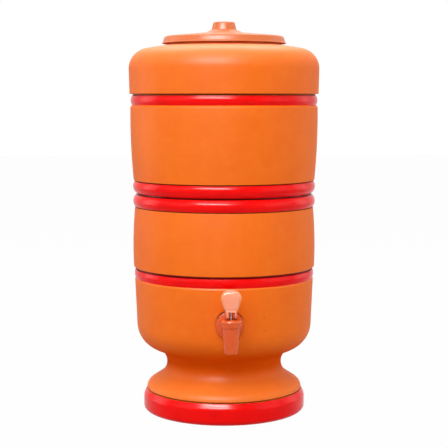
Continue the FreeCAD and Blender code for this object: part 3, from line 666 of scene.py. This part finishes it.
def thread(root: float, crest: float, start: float, end: float, pitch: float) -> BMesh:
    """Make a screw thread's ridge round the Z axis.

    Args:
        root: the radius of its foot.
        crest: the radius of its crest.
        start: the height that it starts at.
        end: the height that it ends at.
        pitch: how far it climbs in a turn.

    Returns:
        The ridge as a closed mesh.
    """
    mesh = bmesh.new()
    half, land, sunk = pitch * 0.42, pitch * 0.08, 0.1
    section = [(root - sunk, -half), (crest, -land), (crest, land), (root - sunk, half)]
    mesh.faces.new([mesh.verts.new((across, 0, start + half + up)) for across, up in section])
    rise = end - start - 2 * half
    return swept(mesh, rise, rise / pitch, math.ceil(rise / pitch * 36))


def plate(outline: Outline, thickness: float, fineness: float = 8.0) -> BMesh:
    """Make a plate from an outline in the XZ plane, with its middle in that plane.

    Args:
        outline: the outline.
        thickness: how thick the plate is, along Y.
        fineness: the angle between the edges of an arc, in degrees.

    Returns:
        A closed mesh.
    """
    mesh = drawn(outline, fineness)
    bmesh.ops.contextual_create(mesh, geom=mesh.edges)
    bmesh.ops.translate(mesh, vec=(0, -thickness / 2, 0), verts=mesh.verts)
    made = bmesh.ops.extrude_face_region(mesh, geom=mesh.faces)
    far = [item for item in made["geom"] if isinstance(item, BMVert)]
    bmesh.ops.translate(mesh, vec=(0, thickness, 0), verts=far)
    return closed(mesh)


def eased(mesh: BMesh, half: float, rounding: float, segments: int) -> BMesh:
    """Round the edges round a plate's two flat sides.

    Args:
        mesh: the plate.
        half: half its thickness.
        rounding: the radius of the rounding.
        segments: how many faces the rounding has.

    Returns:
        The same mesh.
    """
    rim = [edge for edge in mesh.edges for side in (-half, half)
           if all(abs(vert.co.y - side) < MERGE for vert in edge.verts)]
    bmesh.ops.bevel(mesh, geom=rim, offset=rounding, segments=segments, profile=0.5,
                    affect="EDGES", material=-1)
    return closed(mesh)


def cut_across(mesh: BMesh, axis: Axis, places: Sequence[float]) -> None:
    """Cut a mesh's faces along planes square to an axis, so that the mesh can be crowned.

    Args:
        mesh: the mesh.
        axis: what the planes are square to.
        places: where they cross the axis.
    """
    for place in places:
        bmesh.ops.bisect_plane(mesh, geom=[*mesh.verts, *mesh.edges, *mesh.faces], dist=MERGE,
                               plane_co=Vector(axis.value) * place, plane_no=axis.value)


def turn(degrees: float, axis: str) -> Matrix:
    """Return a turn round an axis, by its letter."""
    return Matrix.Rotation(math.radians(degrees), 4, axis)


def placed(mesh: BMesh, matrix: Matrix) -> BMesh:
    """Return a mesh after moving it, in millimetres."""
    bmesh.ops.transform(mesh, matrix=matrix, verts=mesh.verts)
    return mesh


def raised(outline: Outline, height: float) -> Outline:
    """Return an outline moved up by a height."""
    return [(across, up + height, *rest) for across, up, *rest in outline]


def settled(name: str, mesh: BMesh) -> bpy.types.Mesh:
    """Turn a mesh that is worked on into one that an object can hold.

    Args:
        name: its name.
        mesh: the mesh, which is freed.

    Returns:
        The finished mesh.
    """
    data = bpy.data.meshes.new(name)
    mesh.to_mesh(data)
    mesh.free()
    return data


def stood(name: str, data: bpy.types.ID) -> bpy.types.Object:
    """Put a mesh, a light or a camera in the scene.

    Args:
        name: the object's name.
        data: what it holds.

    Returns:
        The object.
    """
    made = bpy.data.objects.new(name, data)
    bpy.context.scene.collection.objects.link(made)
    return made


def joined(*meshes: BMesh) -> BMesh:
    """Put several meshes in one, as separate shells.

    Args:
        meshes: the meshes, which are freed.

    Returns:
        One mesh.
    """
    whole = bmesh.new()
    for mesh in meshes:
        data = settled("shell", mesh)
        whole.from_mesh(data)
        bpy.data.meshes.remove(data)
    return whole


def combine(mesh: BMesh, tool: BMesh, how: Combine) -> BMesh:
    """Combine two closed meshes.

    Args:
        mesh: the mesh that is kept, which is freed.
        tool: the other mesh, which is freed.
        how: cut, fuse, or keep what they share.

    Returns:
        The new mesh.
    """
    kept, other = (stood("combine", settled("combine", part)) for part in (mesh, tool))
    modifier = kept.modifiers.new("combine", "BOOLEAN")
    modifier.operation = how.value
    modifier.solver = "EXACT"
    modifier.object = other
    bpy.context.view_layer.update()
    cut = kept.evaluated_get(bpy.context.evaluated_depsgraph_get())
    result = bmesh.new()
    result.from_mesh(cut.to_mesh())
    cut.to_mesh_clear()
    for made in (kept, other):
        data = made.data
        bpy.data.objects.remove(made)
        bpy.data.meshes.remove(data)
    return result


class Workshop:
    """Turns meshes into pieces that ride on the frame, and gives the frame's nodes a finish."""

    def __init__(self, frame: dict) -> None:
        """Keep the frame, and make the material of each slot but the clay's.
        """
        self.nodes = frame["nodes"]
        self.joints = {joint["name"]: joint for joint in frame["joints"]}
        parts = frame["record"]["subparts"]
        self.kept = {part["node"]: part["material_slot"] for part in parts}
        finishes = {
            "lid_plastic": Moulded("lid_plastic", screen(208, 112, 60), screen(214, 120, 66),
                                   gloss=0.36, shine=0.24),
            "tap_plastic": Moulded("tap_plastic", screen(226, 88, 30), screen(232, 100, 40),
                                   gloss=0.26, shine=0.3),
            "lever_plastic": LeverPlastic("lever_plastic", screen(253, 158, 126),
                                          screen(254, 170, 128), gloss=0.2, shine=0.3, glow=0.3),
            "white_plastic": Moulded("white_plastic", screen(236, 236, 232),
                                     screen(228, 228, 222), gloss=0.4, glow=0.1),
            "float_plastic": Moulded("float_plastic", screen(232, 236, 240),
                                     screen(222, 228, 234), gloss=0.3, glow=0.2),
            "black_rubber": Moulded("black_rubber", (0.012, 0.012, 0.013), (0.02, 0.02, 0.02),
                                    gloss=0.6, shine=0.3, depth=0.00005),
            "white_rubber": Moulded("white_rubber", screen(214, 212, 204),
                                    screen(202, 198, 188), gloss=0.55, shine=0.3),
            "candle_ceramic": PorousCeramic(), "carbon": PressedCarbon(), "steel": DrawnSteel(),
        }
        self.materials = {slot: finish.make() for slot, finish in finishes.items()}

    def piece(self, name: str, mesh: BMesh, body: str, slot: str, stands_for: str,
              *materials: Material) -> bpy.types.Object:
        """Finish a mesh in millimetres as a piece.

        Args:
            name: the piece's name.
            mesh: its mesh, which is freed.
            body: the body that it rides on.
            slot: the record's material slot.
            stands_for: the node that it replaces.
            materials: its materials, by its faces' numbers, if not the slot's own.

        Returns:
            The piece.
        """
        bmesh.ops.scale(mesh, vec=(MM, MM, MM), verts=mesh.verts)
        for face in mesh.faces:
            face.smooth = True
        for edge in mesh.edges:
            edge.smooth = edge.calc_face_angle(0.0) < CREASE
        made = stood(name, settled(name, mesh))
        for material in materials or [self.materials[slot]]:
            made.data.materials.append(material)
        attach(made, body)
        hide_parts(stands_for)
        self.kept.pop(stands_for)
        LOG.info("%s rides on %s: %d faces", name, body, len(made.data.polygons))
        return made

    def dress(self) -> None:
        """Give the nodes of the frame that keep their own shape their finish."""
        for node, slot in self.kept.items():
            data = self.nodes[node].data
            data.materials.clear()
            data.materials.append(self.materials[slot])
            LOG.info("%s keeps its own shape", node)


# ---- sub-assemblies ----

@dataclass(frozen=True)
class Assembly:
    """A sub-assembly of the filter."""

    shop: Workshop
    steps: int = 96

    def round(self, outline: Outline, fineness: float = 8.0) -> BMesh:
        """Return an outline turned in the assembly's own number of steps."""
        return turned(outline, self.steps, fineness)

    def build(self) -> None:
        """Make the assembly's pieces, in each assembly's own way."""
        raise NotImplementedError


@dataclass(frozen=True)
class Crocks(Assembly):
    """The two clay crocks, their foot and their enamelled bands."""

    steps: int = 192
    # foot and waist, from the hollow under the foot outwards and up
    foot_hollow: Outline = ((0, 60), (50.5, 60, 3), (50.5, 39, 6), (73, 24.2, 6), (74, 0, 0.8))
    foot_band: Outline = ((85.3, 0, 5), (85.3, 9, 0, 60), (85.1, 15.6, 0, 10),
                          (83.9, 19, 0, 40), (82.2, 22.4, 0.6))
    foot_groove: Outline = ((79.6, 22.8), (79.6, 23.8, 0.2))
    foot_shoulder: Outline = ((81.8, 24.1, 0.35), (81.8, 28.4, 9.5))
    waist: Outline = ((60.5, 42.4, 15.2), (60.5, 62.1, 15.2))
    # lower crock, up its outside and down its inside
    low_bowl: Outline = ((91.1, 71.6, 28.7), (94, 139.6, 1.2))
    low_band: Outline = ((93.3, 141.2, 0, 12), (93.6, 150.4, 0.5))
    low_groove: Outline = ((91.6, 150.7, 0.3), (91.6, 152.4, 0.3))
    low_wall: Outline = ((94.6, 152.9, 0.35), (95.1, 153.5, 0, 435))
    low_inside: Outline = ((85, 71, 16), (0, 71))
    # the joint of the two crocks, with heights from where they meet
    low_bead: Outline = ((93.6, -14.2, 0.35), (92.2, -13.6, 0.2), (93.6, -13.1, 0, 8.9),
                         (92.2, -0.8), (88.8, -0.8, 0.3), (88.8, 0), (85, 0, 1.5))
    up_bead: Outline = ((83.8, 0), (88.8, 0), (88.8, 0.8, 0.3), (92.2, 0.8, 0, 8.9),
                        (93.8, 13.1), (92.8, 13.3, 0.2), (92.8, 14, 0.2), (94.9, 14.3, 0, 700))
    bead_height: float = 13.1
    bead_grooves: Pair = (0.9, 1.0)
    gap_half: float = 0.8
    # upper crock, from the candle's hole outwards, up and back inside
    spigot: Outline = ((6.5, 226, 0.6), (77.3, 226, 2.5), (77.3, 222, 1.2), (83.8, 222, 1.2))
    up_lip: Outline = ((97.9, 319.6, 1.4),)
    up_band: Outline = ((96.1, 321.6, 0, 9), (96.4, 331.3, 0.5))
    up_groove: Outline = ((95.2, 331.6, 0.3), (95.2, 332.9, 0.3))
    shoulder: Outline = ((98.3, 333.2, 0.35), (98.7, 333.8), (99.8, 377.2, 21.5))
    lid_step: Outline = ((67.6, 382.6, 0.4), (66.8, 381.6, 0.4))
    mouth: Outline = ((59.3, 382.4, 0.5), (58.6, 384.9, 0.5), (52.5, 384.9, 1.5),
                      (52.5, 377.2, 2.5))
    up_inside: Outline = ((80, 372.2, 14), (89, 361.5, 14), (89, 236, 11), (6.5, 236, 0.6))
    # where the enamel ends, and how far out a face is that it covers
    foot_enamel: Pair = (0.3, 22.5)
    low_enamel: float = 80.5
    up_enamel: float = 88.0
    edge: float = 0.01
    # the tap's hole and the radius and distance of its two flat seats
    hole: Pair = (0.0, 0.0)
    hole_steps: int = 64
    outer_seat: Pair = (15.2, 91.2)
    inner_seat: Pair = (14.2, 85.2)

    @property
    def joint(self) -> float:
        """Return the height at which the crocks meet."""
        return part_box("lower_pot")[1].z / MM

    def finish(self) -> tuple[Material, Material]:
        """Make the clay and the enamel, with painted shade where the crocks have grooves.

        Returns:
            Their materials.
        """
        low, high = self.joint - self.bead_height, self.joint + self.bead_height
        under, over = self.bead_grooves
        # heights of the grooves where painted shade is laid, on the clay and on the enamel
        clay = [(self.foot_groove[0][1], self.foot_shoulder[0][1] - 0.2),
                (self.low_groove[1][1], self.low_groove[1][1] + 0.3), (low - under, low),
                (high, high + over), (self.up_groove[0][1], self.up_groove[1][1] + 0.1)]
        enamel = [(self.low_groove[0][1], self.low_groove[1][1]),
                  (self.joint - self.gap_half, self.joint + self.gap_half)]
        in_metres = [tuple((start * MM, end * MM) for start, end in heights)
                     for heights in (clay, enamel)]
        return FiredClay(creases=in_metres[0]).make(), RedEnamel(creases=in_metres[1]).make()

    def enamelled(self, mesh: BMesh, bands: Sequence[Pair], least: float) -> BMesh:
        """Give the outside faces between two heights the enamel.

        Args:
            mesh: a crock.
            bands: the lowest and highest point of each band.
            least: the radius that faces inside it don't take enamel at.

        Returns:
            The same mesh.
        """
        for face in mesh.faces:
            centre = face.calc_center_median()
            outside = math.hypot(centre.x, centre.y) > least
            if outside and any(low < centre.z < high for low, high in bands):
                face.material_index = 1
        return mesh

    def lower(self) -> BMesh:
        """Turn the lower crock and its foot, then bore and seat the tap's hole.

        Returns:
            The crock.
        """
        mesh = self.round([
            *self.foot_hollow, *self.foot_band, *self.foot_groove, *self.foot_shoulder,
            *self.waist, *self.low_bowl, *self.low_band, *self.low_groove, *self.low_wall,
            *raised(self.low_bead, self.joint), *self.low_inside])
        radius, height = self.hole
        (outer, outer_end), (inner, inner_end) = self.outer_seat, self.inner_seat
        cuts = [(radius, inner_end - PAST, outer_end + PAST),
                (outer, outer_end, outer_end + PAST), (inner, inner_end - PAST, inner_end)]
        front = Matrix.Translation((0, 0, height)) @ turn(90, "X")
        for cut in cuts:
            mesh = combine(mesh, placed(cylinder(*cut, self.hole_steps), front), Combine.CUT)
        bands = [self.foot_enamel, (self.low_band[0][1], self.low_groove[1][1] - 0.1),
                 (self.joint - self.bead_height, self.joint - self.edge)]
        return self.enamelled(mesh, bands, self.low_enamel)

    def upper(self) -> BMesh:
        """Turn the upper crock.

        Returns:
            The crock.
        """
        mesh = self.round([
            *self.spigot, *raised(self.up_bead, self.joint), *self.up_lip, *self.up_band,
            *self.up_groove, *self.shoulder, *self.lid_step, *self.mouth, *self.up_inside])
        bands = [(self.joint + self.edge, self.joint + self.bead_height),
                 (self.up_band[0][1], self.up_band[1][1])]
        return self.enamelled(mesh, bands, self.up_enamel)

    def build(self) -> None:
        """Make both crocks."""
        finish = self.finish()
        self.shop.piece("crock_lower", self.lower(), "lower_pot", "clay", "lower_pot", *finish)
        self.shop.piece("crock_upper", self.upper(), "upper_pot", "clay", "upper_pot", *finish)


@dataclass(frozen=True)
class Lid(Assembly):
    """Moulded lid: crown and knob in one, with a rim, a seat ring, a skirt and ribs."""

    steps: int = 144
    hollow: Outline = ((0, 405.4), (8.7, 405.4, 1), (10.6, 394.4, 1))
    skirt: Outline = ((48.4, 390.4, 1), (48.4, 377, 0.6), (50.4, 377, 0.6), (50.4, 390.4, 0.8))
    seat: Outline = ((53.8, 390.4, 0.8), (53.8, 384.9, 0.4), (56, 384.9, 0.4), (56, 391.2, 0.6))
    rim: Outline = ((58.9, 389.7, 2), (63, 385.1, 0.5), (65.2, 385.1, 0.5), (63.7, 386.9, 3),
                    (62.1, 392.6, 3.5))
    crown: Outline = ((19.5, 396.6, 8), (13, 399.6, 0.4))
    knob: Outline = ((12.8, 400.5, 0.5), (10.9, 407.6, 2.2), (0, 407.6))
    rib_count: int = 12
    rib_size: Triple = (11.8, 1.6, 4.6)
    rib_place: Triple = (55.4, 0, 388.7)
    rib_edge: float = 0.4

    def rib(self) -> BMesh:
        """Make a rib, which ties the skirt to the seat ring and the rim.

        Returns:
            The rib, on the +X side.
        """
        mesh = bmesh.new()
        bmesh.ops.create_cube(mesh, size=1.0)
        bmesh.ops.scale(mesh, vec=self.rib_size, verts=mesh.verts)
        bmesh.ops.translate(mesh, vec=self.rib_place, verts=mesh.verts)
        bmesh.ops.bevel(mesh, geom=mesh.edges, offset=self.rib_edge, segments=2, profile=0.5,
                        affect="EDGES", material=-1)
        return mesh

    def build(self) -> None:
        """Make the lid."""
        shell = self.round([*self.hollow, *self.skirt, *self.seat, *self.rim, *self.crown,
                            *self.knob])
        ribs = [placed(self.rib(), turn(360 * number / self.rib_count, "Z"))
                for number in range(self.rib_count)]
        self.shop.piece("lid_moulding", joined(shell, *ribs), "lid", "lid_plastic", "lid")


@dataclass(frozen=True)
class Candle(Assembly):
    """The filter candle: its domed ceramic shell, base cup and threaded stem."""

    shell_foot: Outline = ((20, 242), (27, 242, 0.5))
    dome: Outline = ((27, 0, 22), (0, 0), (0, -7), (20, -7, 15))  # heights from the top
    dome_fineness: float = 6.0
    stem: Outline = ((2.6, 196), (4.9, 196, 0.4), (4.9, 238.5))
    cup: Outline = ((29.6, 238.5, 1), (29.6, 250.5, 0.8), (27.2, 250.5, 0.3), (27.2, 242),
                    (2.6, 242))
    stem_thread: tuple[float, ...] = (4.9, 5.5, 197, 225.5, 1.75)

    def build(self) -> None:
        """Make the candle."""
        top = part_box("candle_shell")[1].z / MM
        shell = self.round([*self.shell_foot, *raised(self.dome, top)], self.dome_fineness)
        self.shop.piece("candle_dome", shell, "upper_pot", "candle_ceramic", "candle_shell")
        base = joined(self.round([*self.stem, *self.cup]), thread(*self.stem_thread))
        self.shop.piece("candle_cup_and_stem", base, "upper_pot", "white_plastic",
                        "candle_base")


@dataclass(frozen=True)
class Float(Assembly):
    """The hollow float on the valve's arm, with the seam where its halves are welded."""

    steps: int = 72
    lower_half: Outline = ((0, 7), (2, 7), (2, 0, 0.4), (16.65, 0, 8), (16.65, 10.4))
    seam: Outline = ((17, 10.75, 0.2), (17, 11.25, 0.2))
    upper_half: Outline = ((16.65, 11.6), (16.65, 22, 8), (0, 22))
    foot: Triple = (52.0, 0.0, 1.5)  # on the arm, from its pivot
    droop: float = 35.0

    def build(self) -> None:
        """Make the float."""
        pivot = Vector(self.shop.joints["float_swing"]["pos_m"]) / MM
        lean = turn(self.droop, "Y")
        bulb = self.round([*self.lower_half, *self.seam, *self.upper_half])
        placed(bulb, Matrix.Translation(pivot + lean @ Vector(self.foot)) @ lean)
        self.shop.piece("float_bulb_blown", bulb, "float", "float_plastic", "float_bulb")


@dataclass(frozen=True)
class TapSpring(Assembly):
    """The coil that holds the tap's seal on its seat."""

    steps: int = 160
    radius: float = 3.5
    wire: float = 0.8
    turns: float = 4.0

    def build(self) -> None:
        """Make the spring."""
        low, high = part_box("tap_spring")
        axis_y = (low.y + high.y) / 2
        coil = bmesh.new()
        bmesh.ops.create_circle(coil, cap_ends=True, segments=10, radius=self.wire / 2)
        start = Matrix.Translation((self.radius, 0, low.z / MM + self.wire / 2))
        placed(coil, start @ turn(90, "X"))
        swept(coil, (high.z - low.z) / MM - self.wire, self.turns, self.steps)
        placed(coil, Matrix.Translation((0, axis_y / MM, 0)))
        made = self.shop.piece("tap_spring_coil", coil, "lower_pot", "steel", "tap_spring")
        lift = self.shop.joints["plunger_lift"]["range_m"][1]
        1 - lift / (high.z - low.z)
        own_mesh(made)


@dataclass(frozen=True)
class TapBody(Assembly):
    """The tap's moulded body, with the washers and the nut that clamp it to the crock.

    Heights are over the shank's axis, and distances along the shank are from the crocks' axis.
    """

    hole_radius: float = 8.8
    reach: float = 113.0
    barrel: Outline = ((0, -24.7), (6.3, -24.7, 1.5), (9, 1.9, 0.7), (8.2, 1.9),
                       (8.2, 6.7, 0.4), (0, 6.7))
    water_way: Outline = ((0, -29.7), (4, -29.7), (4, -6.2), (6.6, -6.2), (6.6, 11.7),
                          (0, 11.7))
    shank: Outline = ((0, 70), (7.3, 70, 0.8), (7.3, 93.2))
    flange: Outline = ((13.7, 93.2, 0.3), (13.7, 95, 0.8), (8.6, 96.2, 3))
    arm: Outline = ((6.6, 96.2, 0.8), (6.6, 113), (0, 113))
    shank_bore: tuple[float, ...] = (3.6, 65, 113, 48)
    shank_thread: tuple[float, ...] = (7.3, 7.95, 70.8, 92.2, 2)
    # the radius of each washer, and where it starts and ends
    outer_washer: Triple = (13.9, 91.2, 93.2)
    inner_washer: Triple = (12.6, 83.2, 85.2)
    washer_bore: float = 8.3
    nut_flats: float = 23.0
    nut: Pair = (76.2, 83.2)
    nut_taper: float = 1.0
    nut_bore: Outline = ((0, 75.2), (8.85, 75.2), (7.95, 76.9), (7.95, 82.5), (8.85, 84.2),
                         (0, 84.2))

    @property
    def height(self) -> float:
        """Return the height of the shank's axis."""
        low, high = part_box("tap_outer_washer")
        return (low.z + high.z) / 2 / MM

    @property
    def on_spout(self) -> Matrix:
        """Return the move from the Z axis to the spout's axis."""
        return Matrix.Translation((0, -self.reach, self.height))

    @property
    def on_shank(self) -> Matrix:
        """Return the turn and move from the Z axis to the shank's axis."""
        return Matrix.Translation((0, 0, self.height)) @ turn(90, "X")

    def moulding(self) -> BMesh:
        """Make the body: spout, arm, flange and threaded shank.

        Returns:
            The body, in its place.
        """
        body = placed(self.round(self.barrel), self.on_spout)
        shank = self.round([*self.shank, *self.flange, *self.arm])
        body = combine(body, placed(shank, self.on_shank), Combine.FUSE)
        body = combine(body, placed(self.round(self.water_way), self.on_spout), Combine.CUT)
        body = combine(body, placed(cylinder(*self.shank_bore), self.on_shank), Combine.CUT)
        return joined(body, placed(thread(*self.shank_thread), self.on_shank))

    def washer(self, radius: float, start: float, end: float) -> BMesh:
        """Return a washer between two distances from the crocks' axis."""
        bore = self.washer_bore
        return self.round([(bore, start, 0.3), (radius, start, 0.5), (radius, end, 0.5),
                           (bore, end, 0.3)])

    def hexagon(self) -> BMesh:
        """Make the nut, its corners turned off on both faces.

        Returns:
            The nut, on the Z axis.
        """
        start, end = self.nut
        corner, flat = self.nut_flats / math.sqrt(3), self.nut_flats / 2
        low, high, past = start + self.nut_taper, end - self.nut_taper, corner + 2
        taper = self.round([(0, start), (flat, start), (corner, low), (past, low),
                            (past, high), (corner, high), (flat, end), (0, end)])
        nut = combine(cylinder(corner, start, end, 6), taper, Combine.SHARE)
        return combine(nut, self.round(self.nut_bore), Combine.CUT)

    def build(self) -> None:
        """Make the body, the washers and the nut."""
        pieces = [
            ("tap_moulding", self.moulding(), "tap_plastic", "tap_body"),
            ("tap_washer_outside", placed(self.washer(*self.outer_washer), self.on_shank),
             "black_rubber", "tap_outer_washer"),
            ("tap_washer_inside", placed(self.washer(*self.inner_washer), self.on_shank),
             "black_rubber", "tap_inner_washer"),
            ("tap_hexagon_nut", placed(self.hexagon(), self.on_shank), "tap_plastic", "tap_nut"),
        ]
        for name, mesh, slot, node in pieces:
            self.shop.piece(name, mesh, "lower_pot", slot, node)


@dataclass(frozen=True)
class TapBonnet(Assembly):
    """The collar that is screwed on the tap's neck and carries the lever's foot."""

    tap: TapBody | None = None
    under: Outline = ((1.55, 6.9), (8.2, 6.9), (8.2, 1.9))
    outside: Outline = ((9.8, 1.9, 0.5), (11.2, 9.7, 2.5))
    dish: Outline = ((4.6, 9.7, 0.3), (4.6, 8.7, 0.3), (1.55, 8.7))

    def build(self) -> None:
        """Make the collar."""
        collar = placed(self.round([*self.under, *self.outside, *self.dish]), self.tap.on_spout)
        self.shop.piece("tap_bonnet_collar", collar, "lower_pot", "tap_plastic", "tap_bonnet")


@dataclass(frozen=True)
class TapLever(Assembly):
    """The forked lever whose cam foot lifts the stem. Its sizes are measured from its pin."""

    grip_outline: Outline = (
        (-5.5, -4.5), (5.5, -4.5), (6.2, -1.5), (10.1, 10.5, 6), (10.1, 19.7, 8),
        (-10.1, 19.7, 8), (-10.1, 10.5, 6), (-6.2, -1.5))
    grip_half: float = 10.1
    grip_thickness: float = 9.2
    grip_edge: float = 3.0
    grip_fineness: float = 6.0
    crown: float = 0.08
    crown_start: float = 12.5
    crown_height: float = 8.2
    crown_rows: Sequence[float] = range(6, 19)
    crown_columns: Sequence[float] = range(-8, 9, 2)
    fork_outline: Outline = (
        (-18, -18), (18, -18), (18, 2.8), (-2.8, 2.8, 2.49), (-2.8, 0.3), (-4.6, -1.5),
        (-18, -1.5))
    fork_width: float = 6.1
    foot: float = 9.0
    rise: float = 2.5
    tilt: float = 45.0
    cam_points: int = 12
    foot_back: Outline = ((-4.6, 0.4), (4.6, 0), (4.3, -9, 0.6))
    foot_half: float = 5.8
    foot_edge: float = 1.2
    hole: tuple[float, ...] = (1.06, -20, 20, 32)

    def grip(self) -> BMesh:
        """Make the grip, rounded all round its front and back.

        Returns:
            The grip.
        """
        mesh = plate(self.grip_outline, self.grip_thickness, self.grip_fineness)
        mesh = eased(mesh, self.grip_thickness / 2, self.grip_edge, 8)
        cut_across(mesh, Axis.Z, self.crown_rows)
        cut_across(mesh, Axis.X, self.crown_columns)
        for vert in mesh.verts:
            rise = max(0.0, vert.co.z - self.crown_start) / self.crown_height
            side = 1 - self.crown * (vert.co.x / self.grip_half) ** 2
            vert.co.y *= math.sqrt(1 - rise ** 2) * side
        return closed(mesh)

    def cam(self) -> BMesh:
        """Make the foot, whose cam edge keeps touching the bonnet as the lever tilts.

        Returns:
            The foot, as a plate square to Y.
        """
        outline = []
        for step in range(self.cam_points + 1):
            angle = math.radians(self.tilt) * step / self.cam_points
            reach = self.foot + self.rise * angle
            outline.append((-reach * math.sin(angle) - self.rise * math.cos(angle),
                            -reach * math.cos(angle) + self.rise * math.sin(angle)))
        mesh = plate([*outline, *self.foot_back][::-1], self.foot_half * 2)
        return eased(mesh, self.foot_half, self.foot_edge, 4)

    def build(self) -> None:
        """Make the lever."""
        sideways = turn(90, "Z")
        lever = combine(self.grip(), placed(self.cam(), sideways), Combine.FUSE)
        cuts = (placed(plate(self.fork_outline, self.fork_width), sideways),
                placed(cylinder(*self.hole), turn(90, "Y")))
        for cut in cuts:
            lever = combine(lever, cut, Combine.CUT)
        pin = Vector(self.shop.joints["lever_tilt"]["pos_m"]) / MM
        placed(lever, Matrix.Translation(pin))
        self.shop.piece("tap_lever_paddle", lever, "tap_lever", "lever_plastic", "tap_lever")


# ---- room, lamps and camera ----

@dataclass(frozen=True)
class Lamp:
    """A soft lamp: where it hangs, its width and height, and its power in watts."""

    name: str
    place: Triple
    size: Pair
    power: float
    gleams: bool = False  # makes highlights and no other light

    def hang(self, target: Vector) -> None:
        """Hang the lamp.

        Args:
            target: what it points at.
        """
        light = bpy.data.lights.new(self.name, "AREA")
        light.shape = "RECTANGLE"
        light.size, light.size_y = self.size
        light.energy = self.power
        lamp = stood(self.name, light)
        lamp.visible_diffuse = not self.gleams
        lamp.location = self.place
        way = target - Vector(self.place)
        lamp.rotation_euler = way.to_track_quat("-Z", "Y").to_euler()


@dataclass(frozen=True)
class Studio:
    """A white floor and room with soft lamps, and the camera in front, a little to the left."""

    distance: float = 1.336
    height: float = 0.3289
    turn: float = 3.5
    pitch: float = 5.66
    lens: float = 102.13
    sensor: float = 36.0
    floor_half: float = 6.0
    floor_grey: Colour = (0.45, 0.45, 0.45)
    floor_white: float = 0.98
    room_light: float = 0.2
    white: Colour = (1.0, 1.0, 1.0)
    target: Triple = (0, 0, 0.22)
    lamps: tuple[Lamp, ...] = (
        Lamp("gleam", (-0.5, -1.6, 1.38), (1.3, 0.12), 125, gleams=True),
        Lamp("gleam_left", (-1.7, 0.55, 0.5), (0.8, 1.4), 14, gleams=True),
        Lamp("gleam_right", (1.7, 0.55, 0.5), (0.8, 1.4), 7, gleams=True),
        Lamp("key", (-0.5, -1.6, 1.38), (1.5, 0.3), 14),
        Lamp("over", (-0.3, -0.95, 1.95), (1.5, 0.8), 22),
        Lamp("back", (0.0, 0.8, 1.6), (1.4, 0.8), 20),
        Lamp("right", (1.7, -0.8, 0.7), (1.4, 1.4), 11),
        Lamp("left", (-1.7, -0.9, 0.9), (1.2, 1.2), 8),
    )

    def floor(self) -> None:
        """Lay a pale matt floor that takes the shadow and shows white where it is looked at."""
        mesh = bmesh.new()
        bmesh.ops.create_grid(mesh, x_segments=1, y_segments=1, size=self.floor_half)
        floor = stood("floor", settled("floor", mesh))
        paint = Paint("pale_floor")
        paint.set(Base_Color=self.floor_grey, Roughness=0.9, Specular_IOR_Level=0.1)
        white = paint.node("ShaderNodeEmission", {}, {"Color": self.white, "Strength": 1.0})
        mixed = paint.node("ShaderNodeMixShader", {}, {
            "Fac": paint.looked_at() * self.floor_white,
            1: Value(paint, paint.shader.outputs[0]), 2: white})
        paint.feed(paint.tree.nodes["Material Output"].inputs["Surface"], mixed)
        floor.data.materials.append(paint.material)

    def room(self) -> None:
        """Make a room that lights softly and is seen as white."""
        world = bpy.data.worlds.new("white_room")
        bpy.context.scene.world = world
        world.use_nodes = True
        nodes = Nodes(world.node_tree)
        background = nodes.tree.nodes["Background"]
        level = nodes.node("ShaderNodeMapRange", {}, {
            "Value": nodes.looked_at(), "To Min": self.room_light, "To Max": 1.0}, "Result")
        nodes.feed(background.inputs["Strength"], level)
        nodes.feed(background.inputs["Color"], self.white)

    def camera(self) -> None:
        """Stand the camera in front of the tap."""
        data = bpy.data.cameras.new("front")
        data.lens = self.lens
        data.sensor_width = self.sensor
        camera = stood("front", data)
        turn_left = math.radians(self.turn)
        camera.location = (-self.distance * math.sin(turn_left),
                           -self.distance * math.cos(turn_left), self.height)
        camera.rotation_euler = Euler((math.radians(90 - self.pitch), 0, -turn_left))
        bpy.context.scene.camera = camera

    def build(self) -> None:
        """Set up the room."""
        self.floor()
        self.room()
        for lamp in self.lamps:
            lamp.hang(Vector(self.target))
        self.camera()
        bpy.context.scene.view_settings.view_transform = "Standard"


def main() -> None:
    """Build the filter's looks round its frame."""
    logging.basicConfig(level=logging.INFO, format="%(message)s")
    for made in list(bpy.data.objects):
        bpy.data.objects.remove(made)
    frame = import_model()
    shop = Workshop(frame)
    tap = TapBody(shop)
    crocks = Crocks(shop, hole=(tap.hole_radius, tap.height))
    for assembly in (crocks, Lid(shop), Candle(shop), Float(shop), tap,
                     TapBonnet(shop, tap=tap), TapLever(shop), TapSpring(shop)):
        assembly.build()
    shop.dress()
    Studio().build()


if __name__ == "__main__":
    main()
